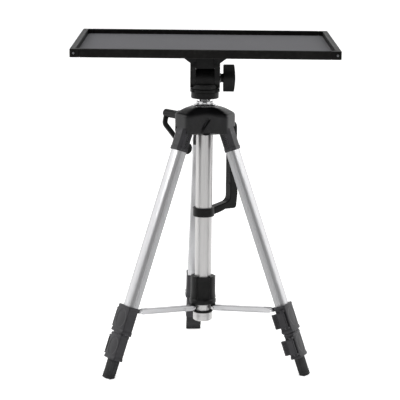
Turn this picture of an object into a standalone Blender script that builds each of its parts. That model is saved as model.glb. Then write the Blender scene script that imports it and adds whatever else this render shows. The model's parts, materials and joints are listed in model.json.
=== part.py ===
"""Projector tripod stand: a rimmed tray on a tilting head, a geared column and three telescopic legs.

Metres, +Z up, feet on z = 0. The stand's box is centred over the origin.
"""
import math

import bmesh
import bpy
from mathutils import Matrix, Vector

# Clearances
GAP = 0.0003
RUN = 0.0005

# Heights, each carried by the one before
PIVOT_Z = 0.374
CRANK_Z = PIVOT_Z
HANDLE_TOP_Z = PIVOT_Z
SHOULDER_DROP = 0.024
SHOULDER_BOTTOM_Z = PIVOT_Z - SHOULDER_DROP
LOBE_DROP = 0.012
LOBE_BOTTOM_Z = PIVOT_Z - LOBE_DROP
DOME_EDGE_RISE = 0.0105
DOME_EDGE_Z = PIVOT_Z + DOME_EDGE_RISE
SHOULDER_RISE = 0.0185
SHOULDER_TOP_Z = PIVOT_Z + SHOULDER_RISE
DOME_RING_RISE = 0.0025
COLUMN_TOP_Z = SHOULDER_TOP_Z + DOME_RING_RISE
STUD_NECK = 0.0100
DISC_BOTTOM_Z = COLUMN_TOP_Z + STUD_NECK
STUD_REACH = 0.011
STUD_TOP_Z = DISC_BOTTOM_Z + STUD_REACH
BASE_HEIGHT = 0.0135
BASE_TOP_Z = DISC_BOTTOM_Z + BASE_HEIGHT
BARREL_RISE = 0.0155
TILT_Z = BASE_TOP_Z + BARREL_RISE
YOKE_BRIDGE_RISE = 0.015
YOKE_BRIDGE_Z = TILT_Z + YOKE_BRIDGE_RISE
TRAY_RISE = 0.057
TRAY_TOP_Z = TILT_Z + TRAY_RISE

# Tray
TRAY_WIDTH = 0.380
TRAY_DEPTH = 0.280
RIM_HEIGHT = 0.012
RIM_WIDTH = 0.008
REBATE_WIDTH = 0.004
BOARD_THICKNESS = 0.003
MAT_THICKNESS = 0.002
CORNER_LENGTH = 0.014
SCREW_HEAD_R = 0.0022
SCREW_SHANK_R = 0.0010
SCREW_LENGTH = 0.0065
SCREW_SINK = 0.0012
SCREW_INSET = 0.0055

# Head
YOKE_WIDTH = 0.044
BARREL_WIDTH = 0.0272
YOKE_R = 0.0148
FLANGE_WIDTH = 0.0635
FLANGE_DEPTH = 0.052
FLANGE_EDGE = 0.0125
FLANGE_DROP = 0.020
YOKE_SHOULDER_DROP = 0.006
FLANGE_SLOPE = 0.002
DISC_R = 0.0200
DISC_EDGE_R = 0.0185
DISC_LIP = 0.003
DISC_FLAT_R = 0.0120
DISC_CROWN = 0.0018
DISC_TOP_ROUND = 0.001
BARREL_DRAFT = 0.0005
BOLT_R = 0.0030
BOLT_HEAD_R = 0.0050
BOLT_HEAD_LENGTH = 0.0030
BOLT_TAIL = 0.0060
KNOB_START = 0.0267
KNOB_END = 0.0440
KNOB_HEIGHT = 0.0387
KNOB_THICKNESS = 0.0130
KNOB_SHANK_R = 0.0065
KNOB_SHANK_SINK = 0.0030
KNOB_BULGE = 0.0017
KNOB_WAIST = 0.0040
KNOB_NECK = 0.0022

# Crank
CRANK_AZIMUTH = 130.0
SHAFT_R = 0.0030
CRANK_BOSS_R = 0.0075
CRANK_BOSS_END = 0.0430
CRANK_BOSS_START = 0.005
CRANK_HUB_R = 0.0062
SHAFT_SHORT = 0.002
CRANK_PLANE = 0.0690
ARM_THICKNESS = 0.0050
ARM_HALF_WIDTH = 0.0048
ARM_ACROSS = 0.0330
ARM_DROP = 0.0570
ARM_BOW = 0.0075
ARM_END_R = 0.0055
CRANK_KNOB_R = 0.0078
CRANK_KNOB_LENGTH = 0.0090
CRANK_PIN_R = 0.0020
CRANK_KNOB_ROUND = 0.0015
CRANK_KNOB_WALL = 0.001

# Shoulder
CORE_R = 0.0260
LOBE_REACH = 0.0390
LOBE_HALF_WIDTH = 0.0190
DOME_STEPS = 5
LOBE_ROUND = 0.006
SLOT_INNER_R = 0.0225
SLOT_TOP_CLEARANCE = 0.0006
SOCKET_DEPTH = 0.0140

# Legs
LEG_AZIMUTHS = {"rear": 95.0, "left": 215.0, "right": 335.0}
LEAN = math.radians(20.3)
PIVOT_R = 0.0312
KNUCKLE_R = 0.0055
PIVOT_PIN_R = 0.0022
LEG_TOP_WIDTH = 0.0300
LEG_TOP_DEPTH = 0.0180
LEG_TOP_LENGTH = 0.0480
LEG_SOCKET_TOP = 0.0160
LEG_TOP_CROWN = 0.0075
LEG_TOP_NECK = 0.004
LEG_TOP_FULL = 0.018
TUBE_WIDTH = 0.0260
TUBE_DEPTH = 0.0145
TUBE_CROWN = 0.0060
TUBE_WALL = 0.0012
TUBE_MOUTH = 0.0150
SECOND_TUBE_TOP = 0.0300
THIRD_TUBE_TOP = 0.0500
COLLAR_1_LENGTH = 0.0410
COLLAR_1_WIDTH = 0.0330
COLLAR_1_DEPTH = 0.0195
COLLAR_2_LENGTH = 0.0390
COLLAR_2_WIDTH = 0.0300
COLLAR_2_DEPTH = 0.0175
COLLAR_SPACE = 0.0020
FOOT_RISE = 0.027768
LEG_LENGTH = PIVOT_Z / math.cos(LEAN)
COLLAR_1_TOP = LEG_LENGTH - FOOT_RISE - COLLAR_2_LENGTH - COLLAR_SPACE - COLLAR_1_LENGTH
COLLAR_LIP = 0.0008
COLLAR_LIP_LENGTH = 0.0050
COLLAR_STOP = 0.0180
COLLAR_CROWN = 0.0070
FOOT_WIDTH = 0.0260
FOOT_DEPTH = 0.0130
FOOT_SOCKET = 0.0120

# Locking levers
LEVER_AXIS_X = 0.0040
LEVER_AXIS_OFF = 0.0034
LEVER_BARREL_R = 0.0028
LEVER_LENGTH = 0.0225
LEVER_THICKNESS = 0.0050
LEVER_OVERHANG = 0.0045
LEVER_EAR = 0.0045
LEVER_TRUNNION_R = 0.0013
LEVER_EAR_ROOT = 0.0040
LEVER_TIP = 0.0028

# Hub and braces
HUB_PIN_R = 0.0180
LUG_DROP = 0.004211
LUG_OFF = 0.020179
LUG_R = PIVOT_R + (COLLAR_1_TOP + LUG_DROP) * math.sin(LEAN) - LUG_OFF * math.cos(LEAN)
LUG_Z = PIVOT_Z - (COLLAR_1_TOP + LUG_DROP) * math.cos(LEAN) - LUG_OFF * math.sin(LEAN)
HUB_PIN_DROP = 0.008
HUB_PIN_Z = LUG_Z - HUB_PIN_DROP
HUB_RISE = 0.049
HUB_TOP_Z = HUB_PIN_Z + HUB_RISE
HUB_SLEEVE_R = 0.0155
SKIRT_R = 0.0200
SKIRT_ROUND = 0.0015
SKIRT_FALL = 0.005
SKIRT_BOTTOM_Z = HUB_PIN_Z + 0.0056
SKIRT_HEIGHT = 0.0144
SKIRT_TOP_Z = SKIRT_BOTTOM_Z + SKIRT_HEIGHT
HUB_RING_TOP_Z = HUB_PIN_Z - 0.0048
HUB_RING_HEIGHT = 0.0024
HUB_RING_BOTTOM_Z = HUB_RING_TOP_Z - HUB_RING_HEIGHT
BRACE_HEIGHT = 0.0080
BRACE_WIDTH = 0.0080
BRACE_END_R = 0.0030
FORK_DEPTH = 0.0125
FORK_HALF_GAP = 0.0018
FIN_HALF_THICKNESS = 0.0014
HUB_FIN_R = 0.0028
LUG_END_R = 0.0030
LUG_HALF_ROOT = 0.0034
BRACE_SHOULDER = 0.004
BRACE_PIN_R = 0.0012
RIVET_HEAD_R = 0.0022
RIVET_HEAD = 0.0008

# Column
COLUMN_R = 0.0110
COLUMN_RISE = 0.041
COLUMN_BOTTOM_Z = HUB_PIN_Z + COLUMN_RISE
COLUMN_WALL = 0.0016
TUBE_R = 0.0125
STUD_R = 0.0050
STUD_SINK = 0.0055
STUD_CHAMFER = 0.001
JAM_R = 0.0125
JAM_THICKNESS = 0.0050
JAM_KNURLS = 16
JAM_KNURL_DEPTH = 0.0006
DOME_RING_R = 0.0180
DOME_RING_CHAMFER = 0.002
CAP_R = 0.0145
CAP_CHAMFER_R = 0.0123
CAP_CHAMFER = 0.001
CAP_DROP = 0.0210
CAP_BOTTOM_Z = HUB_PIN_Z - CAP_DROP
CAP_HEIGHT = 0.0130
CAP_FLOOR = 0.0050
TUBE_SEAT = 0.0060
TUBE_BOTTOM_Z = CAP_BOTTOM_Z + TUBE_SEAT

# Rack and pinion
MODULE = 0.00125
TEETH = 9
RACK_DEPTH = 0.0017
RACK_FOOT = 0.025
RACK_LOW_Z = COLUMN_BOTTOM_Z + RACK_FOOT
RACK_HEAD = 0.0075
RACK_TEETH = int((COLUMN_TOP_Z - RACK_LOW_Z - RACK_HEAD) / (math.pi * MODULE))
RACK_HALF_WIDTH = 0.0045
PINION_HALF_WIDTH = 0.0040
PRESSURE_ANGLE = math.radians(20)
RACK_ADDENDUM = 0.0009
RACK_DEDENDUM = 0.0013
RACK_TOOTH_SHARE = 0.38
RACK_SPACE_SHARE = 0.5
PINION_ADDENDUM = 0.00095
PINION_DEDENDUM = 0.00135
PINION_HALF_TOOTH = {"root": 0.00095, "pitch": 0.00062, "tip": 0.00035}
PINION_CLEARANCE = 0.0009
SHAFT_TAIL = 0.0070

# Carrying handle
HANDLE_AZIMUTH = 35.0
HANDLE_INNER = 0.0447
HANDLE_OUTER = 0.0560
HANDLE_WIDTH = 0.0140
HANDLE_LENGTH = 0.151
HANDLE_LOW_Z = HANDLE_TOP_Z - HANDLE_LENGTH
RING_STEP = 0.002
RING_LOW_Z = HANDLE_LOW_Z + RING_STEP
RING_HEIGHT = 0.0130
RING_R = 0.0162
TAB_HALF_WIDTH = 0.0040
TAB_HEIGHT = 0.0100
TAB_DEPTH = 0.0050
HANDLE_CORNER = 0.008
HANDLE_BEND = 0.010
HANDLE_TOP_BEND = 0.012
HANDLE_FALL = 0.024

SIDES = 24

PAINTS = {
    "tray_plastic": ((0.012, 0.012, 0.013), 0.45, 0.0),
    "tray_mat": ((0.135, 0.135, 0.145), 0.85, 0.0),
    "black_plastic": ((0.016, 0.016, 0.018), 0.50, 0.0),
    "aluminium": ((0.78, 0.78, 0.80), 0.34, 1.0),
    "steel": ((0.62, 0.62, 0.63), 0.30, 1.0),
    "rubber": ((0.014, 0.014, 0.015), 0.80, 0.0),
}


def clear_scene():
    for obj in list(bpy.data.objects):
        bpy.data.objects.remove(obj, do_unlink=True)


def paint(name):
    """Principled material of the given name."""
    found = bpy.data.materials.get(name)
    if found:
        return found
    colour, roughness, metallic = PAINTS[name]
    made = bpy.data.materials.new(name)
    made.use_nodes = True
    shader = made.node_tree.nodes["Principled BSDF"]
    shader.inputs["Base Color"].default_value = (*colour, 1.0)
    shader.inputs["Roughness"].default_value = roughness
    shader.inputs["Metallic"].default_value = metallic
    return made


def finish(name, bm, material, parent, smooth=False):
    """Turns a bmesh into a named object under its parent."""
    bmesh.ops.remove_doubles(bm, verts=bm.verts, dist=1e-6)
    bmesh.ops.recalc_face_normals(bm, faces=bm.faces)
    mesh = bpy.data.meshes.new(name)
    bm.to_mesh(mesh)
    bm.free()
    if smooth:
        mesh.shade_smooth()
        mesh.set_sharp_from_angle(angle=math.radians(35))
    obj = bpy.data.objects.new(name, mesh)
    bpy.context.scene.collection.objects.link(obj)
    if material:
        mesh.materials.append(paint(material))
    if parent:
        obj.parent = parent
    return obj


def empty(name, place, parent=None):
    """An axis: an empty at a place, given as a matrix in its parent's frame."""
    made = bpy.data.objects.new(name, None)
    bpy.context.scene.collection.objects.link(made)
    made.parent = parent
    made.matrix_basis = place
    return made


def add_prism(bm, outline, low, high, place=Matrix()):
    """Adds the outline, in x and y, extruded from z = low to z = high and then placed."""
    start = len(bm.verts)
    bottom = bm.faces.new([bm.verts.new((x, y, low)) for x, y in outline])
    grown = bmesh.ops.extrude_face_region(bm, geom=[bottom])
    lifted = [v for v in grown["geom"] if isinstance(v, bmesh.types.BMVert)]
    bmesh.ops.translate(bm, verts=lifted, vec=(0, 0, high - low))
    bm.verts.ensure_lookup_table()
    bmesh.ops.transform(bm, matrix=place, verts=bm.verts[start:])


def add_turned(bm, profile, sides=SIDES, place=Matrix()):
    """Adds a profile of (radius, height) points turned about Z; a profile may start and end on the axis."""
    rows = []
    for r, z in profile:
        if r == 0:
            rows.append([bm.verts.new(place @ Vector((0, 0, z)))] * sides)
        else:
            rows.append([bm.verts.new(place @ Vector((x, y, z))) for x, y in ring(r, sides)])
    first = 1 if profile[0][0] == 0 else 0
    for k in range(first, len(rows)):
        low = rows[k - 1]
        high = rows[k]
        for i in range(sides):
            j = (i + 1) % sides
            corners = list(dict.fromkeys((low[i], low[j], high[j], high[i])))
            bm.faces.new(corners)


def add_rod(bm, radius, low, high, sides=SIDES, place=Matrix()):
    """Adds a solid cylinder along z."""
    add_prism(bm, ring(radius, sides), low, high, place)


def ring(radius, sides=SIDES):
    return [(radius * math.cos(a), radius * math.sin(a))
            for a in (2 * math.pi * i / sides for i in range(sides))]


def arc(cx, cy, radius, start, end, steps):
    """Points on an arc, angles in degrees."""
    return [(cx + radius * math.cos(math.radians(start + (end - start) * i / steps)),
             cy + radius * math.sin(math.radians(start + (end - start) * i / steps)))
            for i in range(steps + 1)]


def box_outline(x0, x1, y0, y1):
    return [(x0, y0), (x1, y0), (x1, y1), (x0, y1)]


def solid(name, outline, low, high, material, parent, place=Matrix(), smooth=False):
    bm = bmesh.new()
    add_prism(bm, outline, low, high, place)
    return finish(name, bm, material, parent, smooth)


def turned(name, profile, material, parent, sides=SIDES, place=Matrix()):
    bm = bmesh.new()
    add_turned(bm, profile, sides, place)
    return finish(name, bm, material, parent, smooth=True)


def shape(target, cutter, operation="DIFFERENCE"):
    """Adds an exact Boolean of the target with a hidden guide solid."""
    cutter.parent = target.parent
    cutter.hide_render = True
    cutter.display_type = "WIRE"
    mod = target.modifiers.new(cutter.name, "BOOLEAN")
    mod.operation = operation
    mod.solver = "EXACT"
    mod.object = cutter


def along(direction):
    """Rotation that carries +Z onto a direction, keeping +X level where it can."""
    return Vector(direction).to_track_quat("Z", "Y").to_matrix().to_4x4()


X_WAY = Matrix.Rotation(math.radians(90), 4, "Y")
Y_WAY = Matrix.Rotation(math.radians(-90), 4, "X")


def section(width, depth, crown, arc_steps=6):
    """A leg section: flat inner side at -x, straight flanks and a crowned outer side at +x."""
    straight = depth / 2 - crown
    crest = [(straight + crown * math.sin(math.pi * i / arc_steps),
              -width / 2 * math.cos(math.pi * i / arc_steps)) for i in range(arc_steps + 1)]
    return [(-depth / 2, -width / 2)] + crest + [(-depth / 2, width / 2)]


def shrunk(inset):
    """The leg tube's outline drawn in by an inset on all sides."""
    return section(TUBE_WIDTH - 2 * inset, TUBE_DEPTH - 2 * inset, TUBE_CROWN - inset)


def side_place():
    """Places an outline drawn in (x, z) so that its extrusion runs along y."""
    return Matrix(((1, 0, 0, 0), (0, 0, -1, 0), (0, 1, 0, 0), (0, 0, 0, 1)))


def side_solid(name, outline, half_width, material, parent):
    """An (x, z) outline extruded both ways along y."""
    return solid(name, outline, -half_width, half_width, material, parent, side_place())


def foot_point(x):
    """Radius from the column axis, on the ground, of a foot's edge x out from its leg's line."""
    along_leg = (PIVOT_Z + x * math.sin(LEAN)) / math.cos(LEAN)
    return PIVOT_R + x * math.cos(LEAN) + along_leg * math.sin(LEAN)


def rear_reach():
    """How far the rear foot reaches behind the column axis."""
    azimuth = math.radians(LEG_AZIMUTHS["rear"])
    outline = section(FOOT_WIDTH, FOOT_DEPTH, TUBE_CROWN)
    return max(foot_point(x) * math.sin(azimuth) + y * math.cos(azimuth) for x, y in outline)


AXIS_Y = (TRAY_DEPTH / 2 - rear_reach()) / 2


def build_tray(parent):
    """Rim rails and corner pieces round a board that carries the mat."""
    bottom = TRAY_TOP_Z - RIM_HEIGHT
    half_x = TRAY_WIDTH / 2
    half_y = TRAY_DEPTH / 2
    board_x = half_x - RIM_WIDTH + REBATE_WIDTH
    board_y = half_y - RIM_WIDTH + REBATE_WIDTH
    rebate_top = bottom + BOARD_THICKNESS + 2 * GAP

    def rebate(name, target):
        cutter = solid(name, box_outline(-board_x - GAP, board_x + GAP, -board_y - GAP, board_y + GAP),
                       bottom - GAP, rebate_top, None, None)
        shape(target, cutter)

    end_x = half_x - CORNER_LENGTH - GAP
    end_y = half_y - CORNER_LENGTH - GAP
    rails = {
        "tray_rail_front": box_outline(-end_x, end_x, -half_y, -half_y + RIM_WIDTH),
        "tray_rail_back": box_outline(-end_x, end_x, half_y - RIM_WIDTH, half_y),
        "tray_rail_left": box_outline(-half_x, -half_x + RIM_WIDTH, -end_y, end_y),
        "tray_rail_right": box_outline(half_x - RIM_WIDTH, half_x, -end_y, end_y),
    }
    for name, outline in rails.items():
        rail = solid(name, outline, bottom, TRAY_TOP_Z, "tray_plastic", parent)
        rebate(name + "_rebate", rail)

    screw_z = bottom + RIM_HEIGHT / 2
    for name, sx, sy in (("front_left", -1, -1), ("front_right", 1, -1), ("back_left", -1, 1),
                         ("back_right", 1, 1)):
        corner = [(half_x, half_y), (half_x - CORNER_LENGTH, half_y),
                  (half_x - CORNER_LENGTH, half_y - RIM_WIDTH), (half_x - RIM_WIDTH, half_y - RIM_WIDTH),
                  (half_x - RIM_WIDTH, half_y - CORNER_LENGTH), (half_x, half_y - CORNER_LENGTH)]
        piece = solid("tray_corner_" + name, [(sx * x, sy * y) for x, y in corner], bottom, TRAY_TOP_Z,
                      "tray_plastic", parent)
        rebate("rebate_" + name, piece)
        place = (Matrix.Translation((sx * (half_x - SCREW_INSET), sy * half_y, screw_z))
                 @ along((0, -sy, 0)))
        bore = [(0, -GAP), (SCREW_HEAD_R, -GAP), (SCREW_HEAD_R, SCREW_SINK),
                (SCREW_SHANK_R, SCREW_SINK), (SCREW_SHANK_R, SCREW_LENGTH), (0, SCREW_LENGTH)]
        shape(piece, turned("screw_bore_" + name, bore, None, None, 12, place))

    solid("tray_board", box_outline(-board_x, board_x, -board_y, board_y),
          bottom + GAP, bottom + GAP + BOARD_THICKNESS, "tray_plastic", parent)
    inner_x = half_x - RIM_WIDTH - GAP
    inner_y = half_y - RIM_WIDTH - GAP
    mat_low = bottom + BOARD_THICKNESS + 2 * GAP
    solid("tray_mat", box_outline(-inner_x, inner_x, -inner_y, inner_y),
          mat_low, mat_low + MAT_THICKNESS, "tray_mat", parent)
    return bottom


def build_bracket(parent, tray_bottom):
    """The yoke under the tray: a flared flange and two cheeks round the head's barrel."""
    top = tray_bottom - GAP
    half = YOKE_WIDTH / 2
    flare = FLANGE_WIDTH / 2
    front = [(-flare, top), (-flare, top - FLANGE_EDGE), (-half, top - FLANGE_DROP),
             (-half, TILT_Z - YOKE_R), (half, TILT_Z - YOKE_R), (half, top - FLANGE_DROP),
             (flare, top - FLANGE_EDGE), (flare, top)]
    bracket = side_solid("tray_bracket", front, FLANGE_DEPTH / 2, "black_plastic", parent)
    reach = FLANGE_DEPTH / 2 + GAP
    cheek = arc(0, TILT_Z, YOKE_R, 180, 360, 12)
    neck = top - FLANGE_DROP - YOKE_SHOULDER_DROP
    skirt = top - FLANGE_DROP + FLANGE_SLOPE
    side = cheek + [(YOKE_R, neck), (reach, skirt), (reach, top + GAP), (-reach, top + GAP),
                    (-reach, skirt), (-YOKE_R, neck)]
    bm = bmesh.new()
    turn = Matrix(((0, 0, 1, 0), (1, 0, 0, 0), (0, 1, 0, 0), (0, 0, 0, 1)))
    add_prism(bm, side, -flare - GAP, flare + GAP, turn)
    shape(bracket, finish("bracket_side", bm, None, None), "INTERSECT")
    inner = BARREL_WIDTH / 2 + GAP
    bm = bmesh.new()
    add_prism(bm, box_outline(-inner, inner, -reach, reach), TILT_Z - YOKE_R - GAP, YOKE_BRIDGE_Z)
    shape(bracket, finish("bracket_mouth", bm, None, None))
    bm = bmesh.new()
    add_rod(bm, BOLT_R + GAP, -half - GAP, half + GAP, 16, Matrix.Translation((0, 0, TILT_Z)) @ X_WAY)
    shape(bracket, finish("bracket_bolt_bore", bm, None, None))
    bm = bmesh.new()
    add_rod(bm, BOLT_HEAD_R + GAP, -half - GAP, -half + BOLT_HEAD_LENGTH, 16,
            Matrix.Translation((0, 0, TILT_Z)) @ X_WAY)
    shape(bracket, finish("bracket_bolt_recess", bm, None, None))


def build_tilt_lock(parent, knob_axis):
    """The tilt bolt through the yoke and the barrel, and its T-shaped knob."""
    bm = bmesh.new()
    half = YOKE_WIDTH / 2
    place = Matrix.Translation((0, 0, TILT_Z)) @ X_WAY
    add_turned(bm, [(0, -half + GAP), (BOLT_HEAD_R, -half + GAP),
                    (BOLT_HEAD_R, -half + BOLT_HEAD_LENGTH - GAP), (BOLT_R, -half + BOLT_HEAD_LENGTH - GAP),
                    (BOLT_R, KNOB_END - BOLT_TAIL), (0, KNOB_END - BOLT_TAIL)], 16, place)
    finish("tilt_bolt", bm, "steel", parent, smooth=True)

    thick = KNOB_THICKNESS / 2
    tall = KNOB_HEIGHT / 2
    edge = KNOB_END - KNOB_BULGE
    outer = [(edge + KNOB_BULGE * math.cos(math.pi * i / 8 - math.pi / 2),
              tall * math.sin(math.pi * i / 8 - math.pi / 2)) for i in range(9)]
    front = [(KNOB_START, tall), (KNOB_START, -tall)] + outer
    bm = bmesh.new()
    add_prism(bm, front, -thick, thick, side_place())
    knob = finish("tilt_knob", bm, "black_plastic", knob_axis)
    rise = tall / 2
    plan = [(-tall - GAP, -thick - GAP), (tall + GAP, -thick - GAP), (tall + GAP, -KNOB_NECK),
            (rise, -KNOB_WAIST), (rise / 2, -thick), (-rise / 2, -thick), (-rise, -KNOB_WAIST),
            (-tall - GAP, -KNOB_NECK)]
    for sign, name in ((1, "knob_scoop_a"), (-1, "knob_scoop_b")):
        bm = bmesh.new()
        turn = Matrix(((0, 0, 1, 0), (0, sign, 0, 0), (1, 0, 0, 0), (0, 0, 0, 1)))
        add_prism(bm, plan, KNOB_START - GAP, KNOB_END + GAP, turn)
        shape(knob, finish(name, bm, None, None))
    bm = bmesh.new()
    add_rod(bm, KNOB_SHANK_R, half + GAP, KNOB_START + KNOB_SHANK_SINK, 16, X_WAY)
    shape(knob, finish("knob_shank", bm, None, None), "UNION")
    bm = bmesh.new()
    add_rod(bm, BOLT_R + GAP, half - GAP, KNOB_END - BOLT_TAIL + GAP, 16, X_WAY)
    shape(knob, finish("knob_bore", bm, None, None))


def build_head(parent):
    """The pan base: a disc on the stud and the barrel that the yoke tilts on."""
    barrel = BARREL_WIDTH / 2
    round_r = YOKE_R - BARREL_DRAFT
    foot_r = round_r - BARREL_DRAFT
    seat = BASE_TOP_Z - 2 * DISC_TOP_ROUND
    outline = [(foot_r, seat)] + arc(0, TILT_Z, round_r, 0, 180, 12) + [(-foot_r, seat)]
    bm = bmesh.new()
    turn = Matrix(((0, 0, 1, 0), (1, 0, 0, 0), (0, 1, 0, 0), (0, 0, 0, 1)))
    add_prism(bm, outline, -barrel, barrel, turn)
    head = finish("head_base", bm, "black_plastic", parent)
    flat = DISC_BOTTOM_Z - DISC_CROWN
    disc = [(0, flat), (DISC_FLAT_R, flat), (DISC_EDGE_R, DISC_BOTTOM_Z), (DISC_R, DISC_BOTTOM_Z + DISC_LIP),
            (DISC_R, BASE_TOP_Z - DISC_TOP_ROUND), (DISC_R - DISC_TOP_ROUND, BASE_TOP_Z), (0, BASE_TOP_Z)]
    shape(head, turned("head_disc", disc, None, None), "UNION")
    bm = bmesh.new()
    add_rod(bm, STUD_R + GAP, DISC_BOTTOM_Z - 0.01, STUD_TOP_Z + GAP, 20)
    shape(head, finish("head_stud_bore", bm, None, None))
    bm = bmesh.new()
    add_rod(bm, BOLT_R + GAP, -barrel - GAP, barrel + GAP, 16, Matrix.Translation((0, 0, TILT_Z)) @ X_WAY)
    shape(head, finish("head_bolt_bore", bm, None, None))


def crank_frame():
    """Frame of the crank shaft: z out along the shaft, y up, x level, towards the column."""
    azimuth = math.radians(CRANK_AZIMUTH)
    out = Vector((math.cos(azimuth), math.sin(azimuth), 0))
    up = Vector((0, 0, 1))
    across = up.cross(out)
    centre = across * pinion_offset() + up * CRANK_Z
    rows = Matrix((-across, up, out)).transposed().to_4x4()
    return Matrix.Translation(centre) @ rows


def pinion_offset():
    """Distance of the pinion's axis from the column's axis."""
    return COLUMN_R - RACK_DEPTH + MODULE * TEETH / 2


def build_column(parent):
    """The geared inner column with its stud and jam ring."""
    core = COLUMN_R - 2 * COLUMN_WALL - RACK_DEPTH
    hole = STUD_R + GAP
    column = turned("column_rod", [(COLUMN_R - COLUMN_WALL, COLUMN_BOTTOM_Z), (COLUMN_R, COLUMN_BOTTOM_Z),
                                   (COLUMN_R, COLUMN_TOP_Z), (hole, COLUMN_TOP_Z),
                                   (hole, COLUMN_TOP_Z - STUD_SINK - GAP),
                                   (core, COLUMN_TOP_Z - 2 * STUD_SINK),
                                   (core, COLUMN_BOTTOM_Z + COLUMN_R)], "aluminium", parent)
    pitch = math.pi * MODULE
    half_tooth = RACK_TOOTH_SHARE * pitch / 2
    slope = math.tan(PRESSURE_ANGLE)
    reach = RACK_ADDENDUM
    root = RACK_DEDENDUM
    tip = half_tooth - reach * slope
    base = half_tooth + root * slope
    line = COLUMN_R - RACK_DEPTH
    comb = []
    for i in range(RACK_TEETH):
        z = rack_start() + i * pitch
        comb += [(line + reach, z - tip), (line + reach, z + tip), (line - root, z + base)]
        if i < RACK_TEETH - 1:
            comb.append((line - root, z + pitch - base))
    comb.insert(0, (line - root, rack_start() - base))
    outside = COLUMN_R + COLUMN_WALL
    rack_top = rack_start() + (RACK_TEETH - 1) * pitch
    outline = comb + [(outside, rack_top + base), (outside, rack_start() - base)]
    bm = bmesh.new()
    across = crank_frame().to_3x3().col[0]
    turn = Matrix.Rotation(math.atan2(-across.y, -across.x), 4, "Z")
    add_prism(bm, outline, -RACK_HALF_WIDTH, RACK_HALF_WIDTH, turn @ side_place())
    shape(column, finish("rack_cutter", bm, None, None))
    foot = COLUMN_TOP_Z - STUD_SINK
    turned("column_stud", [(0, foot), (STUD_R, foot), (STUD_R, STUD_TOP_Z - STUD_CHAMFER),
                           (STUD_R - STUD_CHAMFER, STUD_TOP_Z), (0, STUD_TOP_Z)], "steel", parent, 20)
    low = COLUMN_TOP_Z + GAP
    knurl = []
    for i in range(2 * JAM_KNURLS):
        r = JAM_R - (JAM_KNURL_DEPTH if i % 2 else 0)
        knurl.append((r * math.cos(math.pi * i / JAM_KNURLS), r * math.sin(math.pi * i / JAM_KNURLS)))
    jam = solid("jam_ring", knurl, low, low + JAM_THICKNESS, "steel", parent)
    bm = bmesh.new()
    add_rod(bm, STUD_R + GAP, low - GAP, low + JAM_THICKNESS + GAP, 20)
    shape(jam, finish("jam_bore", bm, None, None))


def rack_start():
    """Height of the lowest rack tooth, so that a space faces the pinion's tooth at rest."""
    pitch = math.pi * MODULE
    below = math.floor((CRANK_Z - RACK_LOW_Z) / pitch) + RACK_SPACE_SHARE
    return CRANK_Z - below * pitch


def build_outer_tube(parent):
    """The fixed column tube with its end cap and the bright ring on the dome."""
    low = TUBE_BOTTOM_Z
    high = SHOULDER_BOTTOM_Z + SOCKET_DEPTH - GAP
    bore = COLUMN_R + RUN
    turned("column_tube", [(bore, low), (TUBE_R, low), (TUBE_R, high), (bore, high)], "aluminium", parent)
    wall = TUBE_R + GAP
    floor = CAP_BOTTOM_Z + CAP_FLOOR
    base = CAP_BOTTOM_Z
    rim = base + CAP_HEIGHT
    turned("column_end_cap", [(0, base), (CAP_CHAMFER_R, base), (CAP_R, base + CAP_CHAMFER), (CAP_R, rim),
                              (wall, rim), (wall, floor), (0, floor)], "aluminium", parent)
    ring_low = SHOULDER_TOP_Z + GAP
    ring_r = COLUMN_R + GAP
    turned("dome_ring", [(ring_r, ring_low), (DOME_RING_R, ring_low),
                         (DOME_RING_R - DOME_RING_CHAMFER, COLUMN_TOP_Z), (ring_r, COLUMN_TOP_Z)],
           "steel", parent)


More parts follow.
